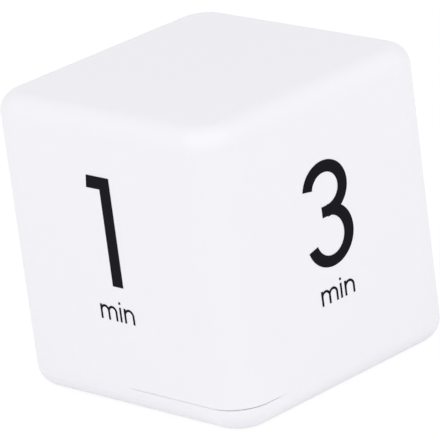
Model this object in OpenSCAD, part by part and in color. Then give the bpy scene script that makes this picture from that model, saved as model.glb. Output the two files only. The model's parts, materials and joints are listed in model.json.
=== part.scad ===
// Digital flip timer: a white cube that starts timing when a printed side is turned up.
// Millimetres, +Z up, origin on the resting face under the middle of the body.
// Front (-Y) is marked 1, right (+X) 3, back (+Y) 5 and left (-X) 10. The blank top means off.

/* [Body] */
// Width and depth of the body
body_w = 63.5; // [57.5:0.5:80]
// Height of the body
body_h = 63.5; // [58:0.5:84]
// Rounding of the four upright edges
corner_r = 7.9; // [6:0.1:10]
// Rounding of the edges round the top and round the base
edge_r = 4.4; // [3.6:0.1:5.4]
// Wall thickness of the shell
wall_t = 2.2; // [1.8:0.1:2.6]
// Floor thickness of the base cover
floor_t = 2.2; // [2.1:0.1:2.6]
// Straight height of the base cover above its rounded edge
rim_h = 0.9; // [0.3:0.1:2]
// Open gap along the parting line
seam_gap = 0.2; // [0.1:0.05:0.4]
// Thickness of the locating lip inside the parting line
lip_t = 1.3; // [1:0.1:1.4]
// Height of the locating lip above the parting line
lip_h = 2.2; // [1.5:0.1:3]

/* [Cover screws] */
// Distance of each screw from the two nearest sides
screw_inset = 8.35; // [8.2:0.05:8.8]
// Radius of the screw posts in the shell
post_r = 3.2; // [2.8:0.1:3.4]
// Shank diameter of the cover screws
screw_d = 2.4; // [2:0.1:2.6]
// Head diameter of the cover screws
screw_head_d = 4.8; // [4.2:0.1:5]
// Length of the cover screws under the head
screw_l = 13; // [10:0.5:16]

/* [Battery bay] */
// Diameter of one cell
cell_d = 10.5; // [10:0.1:10.5]
// Length of one cell with its nub
cell_l = 44.5; // [43.5:0.1:44.5]
// Gap from the bay to the rear screw bosses
bay_gap = 0.85; // [0.5:0.05:2]
// Wall thickness along the sides of the bay
bay_wall = 2; // [1.8:0.1:2.2]
// Wall thickness at the ends of the bay
bay_end_t = 1.2; // [1:0.1:1.2]
// Width of the ledges along both sides that the door closes against
ledge_w = 1; // [0.8:0.1:1.1]
// Length that each spring is squeezed to
spring_l = 4.2; // [3.8:0.1:4.2]

/* [Battery door] */
// Thickness of the door
door_t = 1.7; // [1.5:0.1:1.8]
// Corner radius of the door
door_r = 2; // [1:0.5:3]
// Distance of each tab from the middle of the door
tab_x = 14; // [8:1:17]
// Width of each tab
tab_w = 5; // [3:0.5:7]
// Width of the latch tongue
tongue_w = 9; // [7:0.5:12]
// Length of the latch tongue
tongue_l = 8; // [6:0.5:10]

/* [Circuit board] */
// Thickness of the board
board_t = 1.6; // [1:0.2:2]
// Height of the board above the bay
board_lift = 2; // [1.6:0.2:4]
// Gap from the board's front and rear edges to the shell
board_gap = 2.5; // [2:0.1:3]
// How far the board reaches past each end of the bay
board_over = 1; // [0.8:0.1:2]

/* [Sounder] */
// Distance of the buzzer and the power switch inward from the screw posts
sounder_inset = 11.2; // [11:0.1:11.8]
// Diameter of the buzzer
buzzer_d = 13.8; // [12:0.2:14]
// Height of the buzzer
buzzer_h = 7.8; // [6.5:0.1:8.5]
// Diameter of each sound hole
sound_d = 1.4; // [1:0.1:1.6]

/* [Power switch] */
// Travel of the power switch
switch_travel = 2.5; // [1.5:0.25:3]
// Length of the switch button
button_l = 5.6; // [4.5:0.1:6.5]
// Depth of the pocket that the button slides in
pocket_z = 1.3; // [1.1:0.1:1.3]

/* [Tilt switches] */
// Outside diameter of a tilt switch
can_d = 5; // [4.6:0.1:5.4]
// Length of a tilt switch
can_l = 11; // [9:0.5:12]
// Gap between the ball and its can
ball_gap = 0.2; // [0.15:0.05:0.4]

/* [Printing] */
// Thickness of the printed ink
ink_t = 0.06; // [0.04:0.01:0.2]
// Height of the round numerals
numeral_h = 22.2; // [16:0.1:24]
// How far the round numerals reach below the middle of a side
numeral_drop = 5.4; // [4:0.05:7]
// Height of the flat numeral 1
one_h = 23.25; // [16:0.05:24]
// How far the flat numeral 1 reaches below the middle of a side
one_drop = 4.55; // [4:0.05:7]
// How far the unit letters reach below the middle of a side
unit_drop = 12.65; // [11.5:0.05:15]
// How far the unit letters under the numeral 1 reach below the middle of the front
one_unit_drop = 12.1; // [11.5:0.05:15]

/* [Clearances] */
// Gap around pieces that fit inside one another
fit = 0.15; // [0.1:0.01:0.2]
// Gap of a pin in its hole
pin_fit = 0.05; // [0.03:0.01:0.1]
// Gap around the door
door_gap = 0.25; // [0.2:0.05:0.35]

/* [Hidden] */
$fn = 96;
eps = 0.01;

// Housing
half_w = body_w / 2;
seam_z = edge_r + rim_h;
inner_half = half_w - wall_t;
lip_half = inner_half - fit;
lip_inner = lip_half - lip_t;
lip_corner_r = corner_r - wall_t - fit;
lip_inner_r = lip_corner_r - lip_t;
post_at = half_w - screw_inset;
boss_wall = 0.8;
boss_r = screw_head_d / 2 + fit + boss_wall;
head_h = 1.7;
head_z = 2.3;
boss_roof = 3;
boss_top = head_z + head_h + boss_roof;
boss_z = edge_r / 4;
post_rib_t = 1.4;
post_rib_gap = 0.6;
post_rib_z = seam_z + lip_h + post_rib_gap;

// Battery bay: the cells lie along X, side by side in Y
door_sink = 0.3;
ledge_z = floor_t;
cell_r = cell_d / 2;
cell_lift = 0.4;
cell_z = ledge_z + cell_lift + cell_r;
cell_room = 0.4;
cell_space = 0.6;
cell_pitch = cell_d + cell_space;
nub_l = 1;
nub_r = 1.9;
plate_t = 0.4;
bump_h = 0.5;
bump_base_r = 2.4;
bump_top_r = 1.6;
bay_half_x = (cell_l + spring_l + bump_h) / 2 + plate_t;
bay_half_y = cell_pitch / 2 + cell_r + cell_room;
bay_roof_z = cell_z + cell_r + cell_room;
bay_roof_t = 1.5;
bay_top = bay_roof_z + bay_roof_t;
bay_y = post_at - boss_r - bay_gap - bay_wall - bay_half_y;
bay_front = bay_y - bay_half_y - bay_wall;
opening_x = bay_half_x;
opening_y = bay_half_y + ledge_w;
cell_y = [bay_y - cell_pitch / 2, bay_y + cell_pitch / 2];
plate_w = 8.6;
plate_z = 5;
tail_w = 2;
tail_root = 2;

// Battery door: it swings about the middle of its half-round rear edge
door_x = opening_x - door_gap;
door_front = bay_y - opening_y + door_gap;
door_rear = bay_y + opening_y - door_gap;
hinge_r = door_t / 2;
hinge_y = door_rear - hinge_r;
hinge_z = door_sink + hinge_r;
tab_reach = 1.6;
tab_t = 0.9;
tab_neck = 1.6;
tab_z = floor_t + fit;
tab_room = 0.3;
hinge_to_tab = norm([door_rear + tab_reach - hinge_y, tab_z + tab_t - hinge_z]);
tab_window_top = hinge_z + hinge_to_tab + tab_room;
tongue_slot = 0.8;
catch_reach = 0.1;
scoop_r = 6;
scoop_z = 1.2;

// Circuit board
board_z = bay_top + board_lift;
board_top = board_z + board_t;
board_half_x = bay_half_x + board_over;
board_half_y = inner_half - board_gap;
notch_gap = 0.6;
board_notch = post_at - post_r - notch_gap;
standoff_x = 20;
standoff_back = 7;
standoff_side = 0.5;
standoff_front = 5.05;
board_screw_d = 1.7;
board_screw_l = 4.4;
board_head_d = 3.2;
board_head_h = 1.2;
standoff_r = 2.3;
rear_standoffs = [[-standoff_x, bay_y + standoff_back], [standoff_x, bay_y + standoff_back]];
front_standoff = [standoff_side, standoff_front - board_half_y];
standoffs = concat(rear_standoffs, [front_standoff]);
lead_over = 0.8;

// Room in front of the bay: its middle, and how far out the sounder and the switch lie
front_room_y = (bay_front - lip_inner) / 2;
sounder_x = post_at - sounder_inset;

// Sounder, hung under the board over the sound holes
buzzer_at = [-sounder_x, front_room_y];
buzzer_r = buzzer_d / 2;
buzzer_wall = 0.8;
buzzer_z = board_z - buzzer_h;
collar_gap = 0.3;
collar_t = 0.9;
collar_reach = 1.8;
collar_top = buzzer_z + collar_reach;
disc_r = buzzer_r - buzzer_wall - pin_fit;
disc_t = 0.25;
disc_step = 0.6;
disc_lift = 1.6;
disc_z = buzzer_z + disc_lift;
plug_t = 1.4;
wire_r = 0.35;
buzzer_pitch = 7.6;
port_r = 1.5;
sound_rings = [[1, 0], [6, 3], [12, 6]];

// Power switch, hung under the board over its slot
switch_at = [sounder_x, front_room_y];
switch_rest = switch_at[0] - switch_travel / 2;
case_l = 8.6;
case_w = 4.4;
case_t = 0.35;
switch_h = 3.6;
case_z = board_z - switch_h;
wafer_t = 0.8;
terminal_pitch = 2.5;
lever_w = 1.5;
lever_reach = 2.5;
lever_block = [3.2, 3.2, 1.5];
button_w = 5.2;
button_z = 0.25;
stem_l = 3.6;
stem_w = 2;
stem_grip = 2.2;
rider_gap = 0.2;
rider_l = 9;
rider_w = 5;
rider_z = floor_t + rider_gap;
rider_t = 2.6;
rider_post = [4.6, 3.2];
rider_top = case_z - 2 * rider_gap;
stem_top = rider_z + stem_grip;
slot_l = stem_l + switch_travel + 2 * door_gap;
slot_w = stem_w + 2 * door_gap;
pocket_room = 2;
pocket_l = button_l + switch_travel + 2 * pocket_room;
pocket_side = 0.6;
pocket_w = button_w + 2 * pocket_side;

// Tilt switches: each axis lies along one body diagonal, so every resting side gives its own pattern
tilt_el = atan(1 / sqrt(2));
tilt_at = [[9, 3], [-9, 3], [8, -6]];
tilt_heading = [45, 135, 315];
can_r = can_d / 2;
can_t = 0.35;
header_l = 2;
header_r = can_r - can_t - pin_fit;
ball_r = can_r - can_t - ball_gap;
ball_seat = 0.1;
ball_rest = header_l + ball_r + ball_seat;
tilt_lift = 0.6;
leg_r = 0.25;
leg_pitch = 2.54;
leg_out = 1;
leg_in = 0.8;

// Small parts on the board
chip_at = [-6, -7];
chip_l = 10;
chip_w = 4;
chip_h = 1.5;
chip_size = [chip_l, chip_w, chip_h];
chip_lift = 0.15;
chip_pitch = 1.27;
chip_pins = 8;
crystal_at = [-17, -6];
crystal_r = 1;
crystal_l = 6;
capacitor_back = 6;
capacitor_at = [0, bay_y + capacitor_back];
capacitor_r = 2.5;
capacitor_h = 7;
resistor_size = [2, 1.25, 0.5];
resistor_at = [[-14, -12.5], [-10.8, -12.5], [-7.6, -12.5], [1.5, -11], [1.5, -13.5], [17, -3]];
small_cap_size = [2, 1.25, 0.9];
small_cap_at = [[-13, -1], [1.6, -4], [4, 9], [-4, 7]];
transistor_at = [-3.5, -16];
transistor_size = [2.9, 1.3, 1];

// Printing, in the plane of a side: across, then up
numeral_z = body_h / 2 - numeral_drop;
one_z = body_h / 2 - one_drop;
unit_aside = 0.45;
one_unit_aside = 0.2;
three_unit_aside = 1.11;
unit_at = [-unit_aside, body_h / 2 - unit_drop];
one_unit_at = [-one_unit_aside, body_h / 2 - one_unit_drop];
three_unit_at = [-three_unit_aside, unit_at[1]];
stroke = 2.75;
unit_stroke = 0.5;
unit_h = 3.13;
arc_steps = 36;
numeral_drawn = 22.2;
one_drawn = 23.25;
numeral_scale = numeral_h / numeral_drawn;
one_scale = one_h / one_drawn;

// Contact springs: wire, coils, base and tip radius
coil_wire = 0.25;
coil_turns = 3;
coil_base = 3.4;
coil_tip = 2.2;
coil_rings = 8;
coil_sides = 6;

// Flat shapes

module quarter_disc(r) {
    intersection() {
        circle(r = r);
        square(r);
    }
}

module round_rect(w, d, r) {
    square([w - 2 * r, d], center = true);
    square([w, d - 2 * r], center = true);
    for (sx = [-1, 1], sy = [-1, 1])
        translate([sx * (w / 2 - r), sy * (d / 2 - r)])
            circle(r = r);
}

// Outline of the door or its opening: rounded corners in front, square ones at the hinge
module door_outline(w, d, r) {
    round_rect(w, d, r);
    translate([-w / 2, 0])
        square([w, d / 2]);
}

module block(size, at) {
    translate([at[0] - size[0] / 2, at[1] - size[1] / 2, at[2]])
        cube(size);
}

// Housing forms

// Top layer of a square block: upper edges rounded by r, upright edges by corner
module rounded_cap(w, r, corner) {
    flat = w - 2 * r;
    straight = w - 2 * corner;
    block([flat, straight, r], [0, 0, 0]);
    block([straight, flat, r], [0, 0, 0]);
    for (k = [0:3])
        rotate(90 * k) {
            translate([flat / 2, straight / 2, 0])
                rotate([90, 0, 0])
                    linear_extrude(straight)
                        quarter_disc(r);
            translate([straight / 2, straight / 2, 0])
                rotate_extrude(angle = 90) {
                    square([corner - r, r]);
                    translate([corner - r, 0])
                        quarter_disc(r);
                }
        }
}

// Square block from z0 up to z1 with rounded upright and upper edges
module dome(w, z0, z1, r, corner) {
    translate([0, 0, z0])
        linear_extrude(z1 - r - z0)
            round_rect(w, w, corner);
    translate([0, 0, z1 - r])
        rounded_cap(w, r, corner);
}

module at_posts() {
    for (sx = [-1, 1], sy = [-1, 1])
        translate([sx * post_at, sy * post_at, 0])
            children();
}

// Post that takes one cover screw, with two ribs to the nearest walls
module screw_post(sx, sy) {
    top = body_h - wall_t + eps;
    translate([sx * post_at, sy * post_at, boss_top])
        cylinder(r = post_r, h = top - boss_top);
    rib_l = inner_half - post_at + eps;
    block([rib_l, post_rib_t, top - post_rib_z], [sx * (post_at + rib_l / 2), sy * post_at, post_rib_z]);
    block([post_rib_t, rib_l, top - post_rib_z], [sx * post_at, sy * (post_at + rib_l / 2), post_rib_z]);
}

module shell() {
    color("white")
        difference() {
            union() {
                difference() {
                    dome(body_w, seam_z + seam_gap / 2, body_h, edge_r, corner_r);
                    dome(2 * inner_half, 0, body_h - wall_t, edge_r - wall_t, corner_r - wall_t);
                }
                for (sx = [-1, 1], sy = [-1, 1])
                    screw_post(sx, sy);
            }
            at_posts()
                translate([0, 0, boss_top - eps])
                    cylinder(r = screw_d / 2 + pin_fit, h = screw_l);
        }
}

// Outer tray of the base cover, hollow, with the locating lip
module cover_tray() {
    difference() {
        union() {
            translate([0, 0, edge_r])
                linear_extrude(rim_h - seam_gap / 2)
                    round_rect(body_w, body_w, corner_r);
            translate([0, 0, edge_r])
                mirror([0, 0, 1])
                    rounded_cap(body_w, edge_r, corner_r);
            translate([0, 0, edge_r])
                linear_extrude(rim_h + lip_h)
                    round_rect(2 * lip_half, 2 * lip_half, lip_corner_r);
        }
        translate([0, 0, floor_t])
            linear_extrude(body_h)
                round_rect(2 * lip_inner, 2 * lip_inner, lip_inner_r);
    }
}

// Room that the cells and their contacts take
module bay_room() {
    block([2 * bay_half_x, 2 * bay_half_y, bay_roof_z - ledge_z + 2 * eps], [0, bay_y, ledge_z - 2 * eps]);
}

// Walls and roof of the battery bay
module bay_walls() {
    difference() {
        block(
            [2 * (bay_half_x + bay_end_t), 2 * (bay_half_y + bay_wall), bay_top - ledge_z + eps],
            [0, bay_y, ledge_z - eps]
        );
        bay_room();
        for (y = cell_y)
            block(
                [2 * plate_t, tail_w + 2 * fit, 2 * bay_roof_t],
                [-bay_half_x + plate_t / 2, y, bay_roof_z - eps]
            );
        for (sx = [-1, 1])
            block(
                [tab_w + 2 * tab_room, 3 * bay_wall, tab_window_top - ledge_z + 2 * eps],
                [sx * tab_x, bay_y + bay_half_y + bay_wall / 2, ledge_z - 2 * eps]
            );
    }
}

// Opening that the door fills
module door_opening() {
    translate([0, bay_y, -eps])
        linear_extrude(ledge_z + 2 * eps)
            door_outline(2 * opening_x, 2 * opening_y, door_r + door_gap);
}

module sound_holes() {
    for (ring = sound_rings, k = [1:ring[0]])
        rotate(360 * k / ring[0])
            translate([ring[1], 0, -eps])
                cylinder(d = sound_d, h = floor_t + 2 * eps);
}

module base_cover() {
    collar_r = buzzer_r + collar_gap;
    color("white")
        difference() {
            union() {
                difference() {
                    cover_tray();
                    door_opening();
                    bay_room();
                }
                bay_walls();
                at_posts()
                    translate([0, 0, boss_z])
                        cylinder(r = boss_r, h = boss_top - boss_z);
                for (at = rear_standoffs)
                    translate([at[0], at[1], bay_top - eps])
                        cylinder(r = standoff_r, h = board_lift + eps);
                translate([front_standoff[0], front_standoff[1], floor_t - eps])
                    cylinder(r = standoff_r, h = board_z - floor_t + eps);
                translate([buzzer_at[0], buzzer_at[1], floor_t - eps])
                    difference() {
                        cylinder(r = collar_r + collar_t, h = collar_top - floor_t + eps);
                        translate([0, 0, -eps])
                            cylinder(r = collar_r, h = collar_top);
                    }
            }
            at_posts() {
                translate([0, 0, -eps])
                    cylinder(r = screw_head_d / 2 + fit, h = head_z + head_h + eps);
                cylinder(r = screw_d / 2 + fit, h = boss_top + eps);
            }
            for (at = standoffs)
                translate([at[0], at[1], board_top - board_screw_l])
                    cylinder(r = board_screw_d / 2 + pin_fit, h = board_screw_l);
            translate([buzzer_at[0], buzzer_at[1], 0])
                sound_holes();
            block([pocket_l, pocket_w, pocket_z + eps], [switch_at[0], switch_at[1], -eps]);
            block([slot_l, slot_w, floor_t + 2 * eps], [switch_at[0], switch_at[1], -eps]);
            translate([0, bay_y - opening_y, -eps])
                intersection() {
                    cylinder(r = scoop_r, h = scoop_z + eps);
                    block([2 * scoop_r, 2 * scoop_r, scoop_z + eps], [0, -scoop_r + eps, 0]);
                }
        }
}

// Pan-head screw pointing up from z = 0 under its head, with a cross recess
module screw(d, length, head_d, head_height) {
    recess_w = head_d / 7;
    recess_l = head_d * 0.62;
    tip_l = d / 2;
    difference() {
        union() {
            translate([0, 0, -head_height])
                cylinder(d = head_d, h = head_height);
            translate([0, 0, -eps])
                cylinder(d = d, h = length - tip_l + eps);
            translate([0, 0, length - tip_l])
                cylinder(d1 = d, d2 = d / 3, h = tip_l);
        }
        for (turn = [0, 90])
            rotate(turn)
                block([recess_l, recess_w, head_height * 0.6 + eps], [0, 0, -head_height - eps]);
    }
}

module cover_screws() {
    color("silver")
        at_posts()
            translate([0, 0, head_z + head_h])
                screw(screw_d, screw_l, screw_head_d, head_h);
}

// Battery door

// Tab that reaches over the floor behind the opening and holds the rear edge of the door
module door_tab() {
    block(
        [tab_w, tab_neck, tab_z + tab_t - door_sink - door_t + eps],
        [0, door_rear - tab_neck / 2, door_sink + door_t - eps]
    );
    block([tab_w, tab_reach + eps, tab_t], [0, door_rear + tab_reach / 2 - eps / 2, tab_z]);
}

// Flat plate of the door, its rear edge rounded about the hinge line
module door_plate() {
    door_d = door_rear - door_front;
    intersection() {
        translate([0, (door_front + door_rear) / 2, door_sink])
            linear_extrude(door_t)
                door_outline(2 * door_x, door_d, door_r);
        union() {
            block([2 * body_w, 2 * body_w, door_t], [0, hinge_y - body_w, door_sink]);
            translate([-body_w, hinge_y, hinge_z])
                rotate([0, 90, 0])
                    cylinder(r = hinge_r, h = 2 * body_w);
        }
    }
}

module battery_door() {
    rib_h = cell_z - cell_r - door_sink - door_t - fit;
    rib_w = 1.2;
    catch_side = 1;
    catch_w = tongue_w - 2 * catch_side;
    ridge_gap = 1.6;
    ridge_h = 0.3;
    color("white")
        difference() {
            union() {
                door_plate();
                for (sx = [-1, 1]) {
                    translate([sx * tab_x, 0, 0])
                        door_tab();
                    for (y = cell_y)
                        block(
                            [rib_w, cell_d * 0.4, rib_h + eps],
                            [sx * cell_l / 4, y, door_sink + door_t - eps]
                        );
                }
                block(
                    [catch_w, 2 * catch_reach, door_t / 3],
                    [0, door_front, door_sink + door_t / 2]
                );
            }
            for (sx = [-1, 1])
                block(
                    [tongue_slot, tongue_l, door_t + 2 * eps],
                    [sx * (tongue_w + tongue_slot) / 2, door_front + tongue_l / 2 - eps, door_sink - eps]
                );
            for (k = [1:3])
                block(
                    [catch_w, ridge_gap / 2, ridge_h + eps],
                    [0, door_front + ridge_gap * k, door_sink - eps]
                );
        }
}

// Cells and contacts

// Cell with its nub toward +X when turn is 1 and toward -X when turn is -1
module cell(y, turn) {
    wall_end = -turn * (bay_half_x - plate_t);
    flat_end = wall_end + turn * spring_l;
    translate([flat_end, y, cell_z])
        rotate([0, 90 * turn, 0]) {
            cylinder(r = cell_r, h = cell_l - nub_l);
            cylinder(r = nub_r, h = cell_l);
        }
}

module battery_cell_1() {
    color("dimgray")
        cell(cell_y[0], 1);
}

module battery_cell_2() {
    color("dimgray")
        cell(cell_y[1], -1);
}

// Upright contact plate against one end wall of the bay, thin in X
module contact_plate(side, y, width) {
    block([plate_t, width, bay_roof_z - plate_z - fit], [side * (bay_half_x - plate_t / 2), y, plate_z]);
}

// Pressed bump that meets the nub of a cell
module contact_bump(side, y) {
    translate([side * (bay_half_x - plate_t + eps), y, cell_z])
        rotate([0, -90 * side, 0])
            cylinder(r1 = bump_base_r, r2 = bump_top_r, h = bump_h + eps);
}

// Tail from a plate up through the bay roof and the board
module contact_tail(y) {
    tail_z = bay_roof_z - tail_root;
    block([plate_t, tail_w, board_top + lead_over - tail_z], [-bay_half_x + plate_t / 2, y, tail_z]);
}

module negative_contact() {
    color("silver") {
        contact_plate(-1, cell_y[0], plate_w);
        contact_tail(cell_y[0]);
    }
}

module positive_contact() {
    color("silver") {
        contact_plate(-1, cell_y[1], plate_w);
        contact_tail(cell_y[1]);
        contact_bump(-1, cell_y[1]);
    }
}

module link_contact() {
    color("silver") {
        contact_plate(1, bay_y, cell_pitch + plate_w);
        contact_bump(1, cell_y[0]);
    }
}

// Middle line of a coil along +X: it starts and ends with a straight run of one wire diameter
function coil_point(t) =
    let (
        run = 2 * coil_wire,
        s = min(max(t, 0), 1),
        r = coil_base + (coil_tip - coil_base) * s,
        a = 360 * coil_turns * s
    )
    [run + (spring_l - 2 * run) * s, r * cos(a), r * sin(a)];

coil_steps = coil_turns * coil_rings;
coil_middle = [for (k = [0:coil_steps]) coil_point(k / coil_steps)];
coil_path = concat(
    [[0, coil_middle[0][1], coil_middle[0][2]]],
    coil_middle,
    [[spring_l, coil_middle[coil_steps][1], coil_middle[coil_steps][2]]]
);

function unit(v) = v / norm(v);

// Direction of the wire at point k of the path, and two directions square to it
function coil_along(k) =
    k == 0 || k == len(coil_path) - 1 ? [1, 0, 0] : unit(coil_path[k + 1] - coil_path[k - 1]);
function coil_out(k) =
    let (p = coil_path[k], d = coil_along(k), radial = [0, p[1], p[2]])
    unit(radial - d * (radial * d));
function coil_ring(k) =
    let (d = coil_along(k), n = coil_out(k), b = cross(d, n))
    [for (j = [0:coil_sides - 1])
        coil_path[k] + coil_wire * (n * cos(360 * j / coil_sides) + b * sin(360 * j / coil_sides))];

// Least gap between points of the wire that lie more than half a turn apart
coil_least = min([
    for (i = [0:coil_steps], j = [0:coil_steps])
        if (j - i > coil_rings / 2) norm(coil_middle[i] - coil_middle[j]) - 2 * coil_wire
]);
echo(str("least gap between spring coils: ", coil_least, " mm"));

module coil() {
    rings = len(coil_path);
    points = [for (k = [0:rings - 1]) each coil_ring(k)];
    sides = [
        for (k = [0:rings - 2], j = [0:coil_sides - 1])
            let (a = k * coil_sides + j, b = k * coil_sides + (j + 1) % coil_sides)
            each [[a, a + coil_sides, b], [b, a + coil_sides, b + coil_sides]]
    ];
    first = [for (j = [0:coil_sides - 1]) j];
    last = [for (j = [coil_sides - 1:-1:0]) (rings - 1) * coil_sides + j];
    polyhedron(points, concat(sides, [first, last]), convexity = 8);
}

module negative_spring() {
    color("silver")
        translate([-bay_half_x + plate_t, cell_y[0], cell_z])
            coil();
}

module link_spring() {
    color("silver")
        translate([bay_half_x - plate_t, cell_y[1], cell_z])
            rotate(180)
                coil();
}

// Circuit board and its small parts

function buzzer_pin(s) = [buzzer_at[0] + s * buzzer_pitch / 2, buzzer_at[1]];
function terminal(k) = [switch_at[0] + k * terminal_pitch, switch_at[1]];

// Where a tilt switch meets the board, the direction of its axis and the bend of each leg
function tilt_axis(i) =
    [cos(tilt_heading[i]) * cos(tilt_el), sin(tilt_heading[i]) * cos(tilt_el), sin(tilt_el)];
function tilt_base(i) = [tilt_at[i][0], tilt_at[i][1], board_top + tilt_lift + can_r * cos(tilt_el)];
function leg_bend(i, s) =
    tilt_base(i)
    + s * leg_pitch / 2 * [-sin(tilt_heading[i]), cos(tilt_heading[i]), 0]
    - leg_out * tilt_axis(i);

module board_hole(at, r) {
    translate([at[0], at[1], board_z - eps])
        cylinder(r = r, h = board_t + 2 * eps);
}

module main_board() {
    color("seagreen")
        difference() {
            union() {
                block([2 * board_half_x, 2 * board_notch, board_t], [0, 0, board_z]);
                block([2 * board_notch, 2 * board_half_y, board_t], [0, 0, board_z]);
            }
            for (at = standoffs)
                board_hole(at, board_screw_d / 2 + fit);
            for (y = cell_y)
                block(
                    [plate_t + 2 * fit, tail_w + 2 * fit, board_t + 2 * eps],
                    [-bay_half_x + plate_t / 2, y, board_z - eps]
                );
            for (s = [-1, 1]) {
                board_hole(buzzer_pin(s), wire_r + pin_fit);
                for (i = [0:2])
                    board_hole(leg_bend(i, s), leg_r + pin_fit);
            }
            for (k = [-1:1])
                board_hole(terminal(k), wire_r + pin_fit);
        }
}

module board_screws() {
    color("silver")
        for (at = standoffs)
            translate([at[0], at[1], board_top])
                mirror([0, 0, 1])
                    screw(board_screw_d, board_screw_l, board_head_d, board_head_h);
}

module timer_chip() {
    mark_r = 0.4;
    mark_z = 0.1;
    color("black")
        difference() {
            block(chip_size, [chip_at[0], chip_at[1], board_top + chip_lift]);
            translate([
                chip_at[0] - chip_size[0] / 2 + 3 * mark_r,
                chip_at[1] - chip_size[1] / 2 + 3 * mark_r,
                board_top + chip_lift + chip_size[2] - mark_z
            ])
                cylinder(r = mark_r, h = 1);
        }
}

// Gull-wing leads along both long sides of the chip
module chip_leads() {
    lead_w = 0.42;
    lead_t = 0.2;
    foot_l = 0.8;
    lead_reach = 0.4;
    lead_z = chip_lift + chip_size[2] / 2;
    color("silver")
        for (k = [0:chip_pins - 1], s = [-1, 1])
            translate([chip_at[0] + (k - (chip_pins - 1) / 2) * chip_pitch, chip_at[1], board_top]) {
                side = s * chip_size[1] / 2;
                block([lead_w, lead_reach, lead_t], [0, side + s * lead_reach / 2, lead_z]);
                block([lead_w, lead_t, lead_z + lead_t], [0, side + s * lead_reach, 0]);
                block([lead_w, foot_l, lead_t], [0, side + s * (lead_reach - lead_t / 2 + foot_l / 2), 0]);
            }
}

// Watch crystal lying on the board, its leads bent down to the board in front of it
module clock_crystal() {
    rim_t = 0.15;
    rim_r = crystal_r + rim_t;
    rim_l = 0.5;
    lead_r = 0.15;
    lead_l = 1.6;
    color("silver")
        translate([crystal_at[0], crystal_at[1] + crystal_l / 2, board_top + rim_r])
            rotate([90, 0, 0]) {
                cylinder(r = crystal_r, h = crystal_l);
                translate([0, 0, crystal_l - rim_l])
                    cylinder(r = rim_r, h = rim_l);
                for (s = [-1, 1])
                    translate([s * crystal_r / 2, 0, crystal_l - eps]) {
                        cylinder(r = lead_r, h = lead_l);
                        translate([0, 0, lead_l]) {
                            sphere(r = lead_r * 1.08);
                            rotate([90, 0, 0])
                                cylinder(r = lead_r, h = rim_r);
                        }
                    }
            }
}

module filter_capacitor() {
    groove_z = 1.2;
    groove_h = 0.5;
    groove_d = 0.25;
    color("navy")
        translate([capacitor_at[0], capacitor_at[1], board_top])
            difference() {
                cylinder(r = capacitor_r, h = capacitor_h);
                translate([0, 0, groove_z])
                    difference() {
                        cylinder(r = capacitor_r + 1, h = groove_h);
                        translate([0, 0, -eps])
                            cylinder(r = capacitor_r - groove_d, h = groove_h + 2 * eps);
                    }
            }
}

module chip_resistors() {
    color("black")
        for (at = resistor_at)
            block(resistor_size, [at[0], at[1], board_top]);
}

module chip_capacitors() {
    color("tan")
        for (at = small_cap_at)
            block(small_cap_size, [at[0], at[1], board_top]);
}

module drive_transistor() {
    foot = [0.4, 0.6, 0.15];
    foot_x = 0.95;
    body_y = transistor_size[1] / 2 + foot[1] / 2;
    color("black") {
        block(transistor_size, [transistor_at[0], transistor_at[1], board_top]);
        for (s = [-1, 1])
            block(foot, [transistor_at[0] + s * foot_x, transistor_at[1] - body_y + eps, board_top]);
        block(foot, [transistor_at[0], transistor_at[1] + body_y - eps, board_top]);
    }
}

// Sounder

module buzzer_case() {
    inside_r = buzzer_r - buzzer_wall;
    color("black")
        translate([buzzer_at[0], buzzer_at[1], buzzer_z])
            difference() {
                cylinder(r = buzzer_r, h = buzzer_h);
                translate([0, 0, disc_z - buzzer_z])
                    cylinder(r = inside_r, h = buzzer_h);
                translate([0, 0, buzzer_wall])
                    cylinder(r = inside_r - disc_step, h = buzzer_h);
                translate([0, 0, -eps])
                    cylinder(r = port_r, h = buzzer_wall + 2 * eps);
            }
}

module buzzer_disc() {
    color("gold")
        translate([buzzer_at[0], buzzer_at[1], disc_z])
            cylinder(r = disc_r, h = disc_t);
}

module buzzer_plug() {
    color("dimgray")
        translate([buzzer_at[0], buzzer_at[1], board_z - plug_t])
            difference() {
                cylinder(r = disc_r, h = plug_t);
                for (s = [-1, 1])
                    translate([s * buzzer_pitch / 2, 0, -eps])
                        cylinder(r = wire_r + pin_fit, h = plug_t + 2 * eps);
            }
}

module buzzer_pins() {
    color("silver")
        for (s = [-1, 1])
            translate([buzzer_pin(s)[0], buzzer_pin(s)[1], board_z - plug_t])
                cylinder(r = wire_r, h = plug_t + board_t + lead_over);
}

// Tilt switches

module on_tilt_axis(i) {
    translate(tilt_base(i))
        rotate([0, 90 - tilt_el, tilt_heading[i]])
            children();
}

module tilt_can(i) {
    color("silver")
        on_tilt_axis(i)
            difference() {
                cylinder(r = can_r, h = can_l);
                translate([0, 0, -eps])
                    cylinder(r = can_r - can_t, h = can_l - can_t + eps);
            }
}

module tilt_header(i) {
    color("saddlebrown")
        on_tilt_axis(i)
            difference() {
                cylinder(r = header_r, h = header_l);
                for (s = [-1, 1])
                    translate([0, s * leg_pitch / 2, -eps])
                        cylinder(r = leg_r + pin_fit, h = leg_in + eps);
            }
}

// Two wire legs: out of the header along the axis, then straight down through the board
module tilt_legs(i) {
    foot_z = board_z - lead_over;
    color("silver")
        for (s = [-1, 1]) {
            bend = leg_bend(i, s);
            on_tilt_axis(i)
                translate([0, s * leg_pitch / 2, -leg_out])
                    cylinder(r = leg_r, h = leg_out + leg_in);
            translate(bend)
                sphere(r = leg_r * 1.08);
            translate([bend[0], bend[1], foot_z])
                cylinder(r = leg_r, h = bend[2] - foot_z);
        }
}

module tilt_ball(i) {
    color("gainsboro")
        on_tilt_axis(i)
            translate([0, 0, ball_rest])
                sphere(r = ball_r);
}

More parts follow.
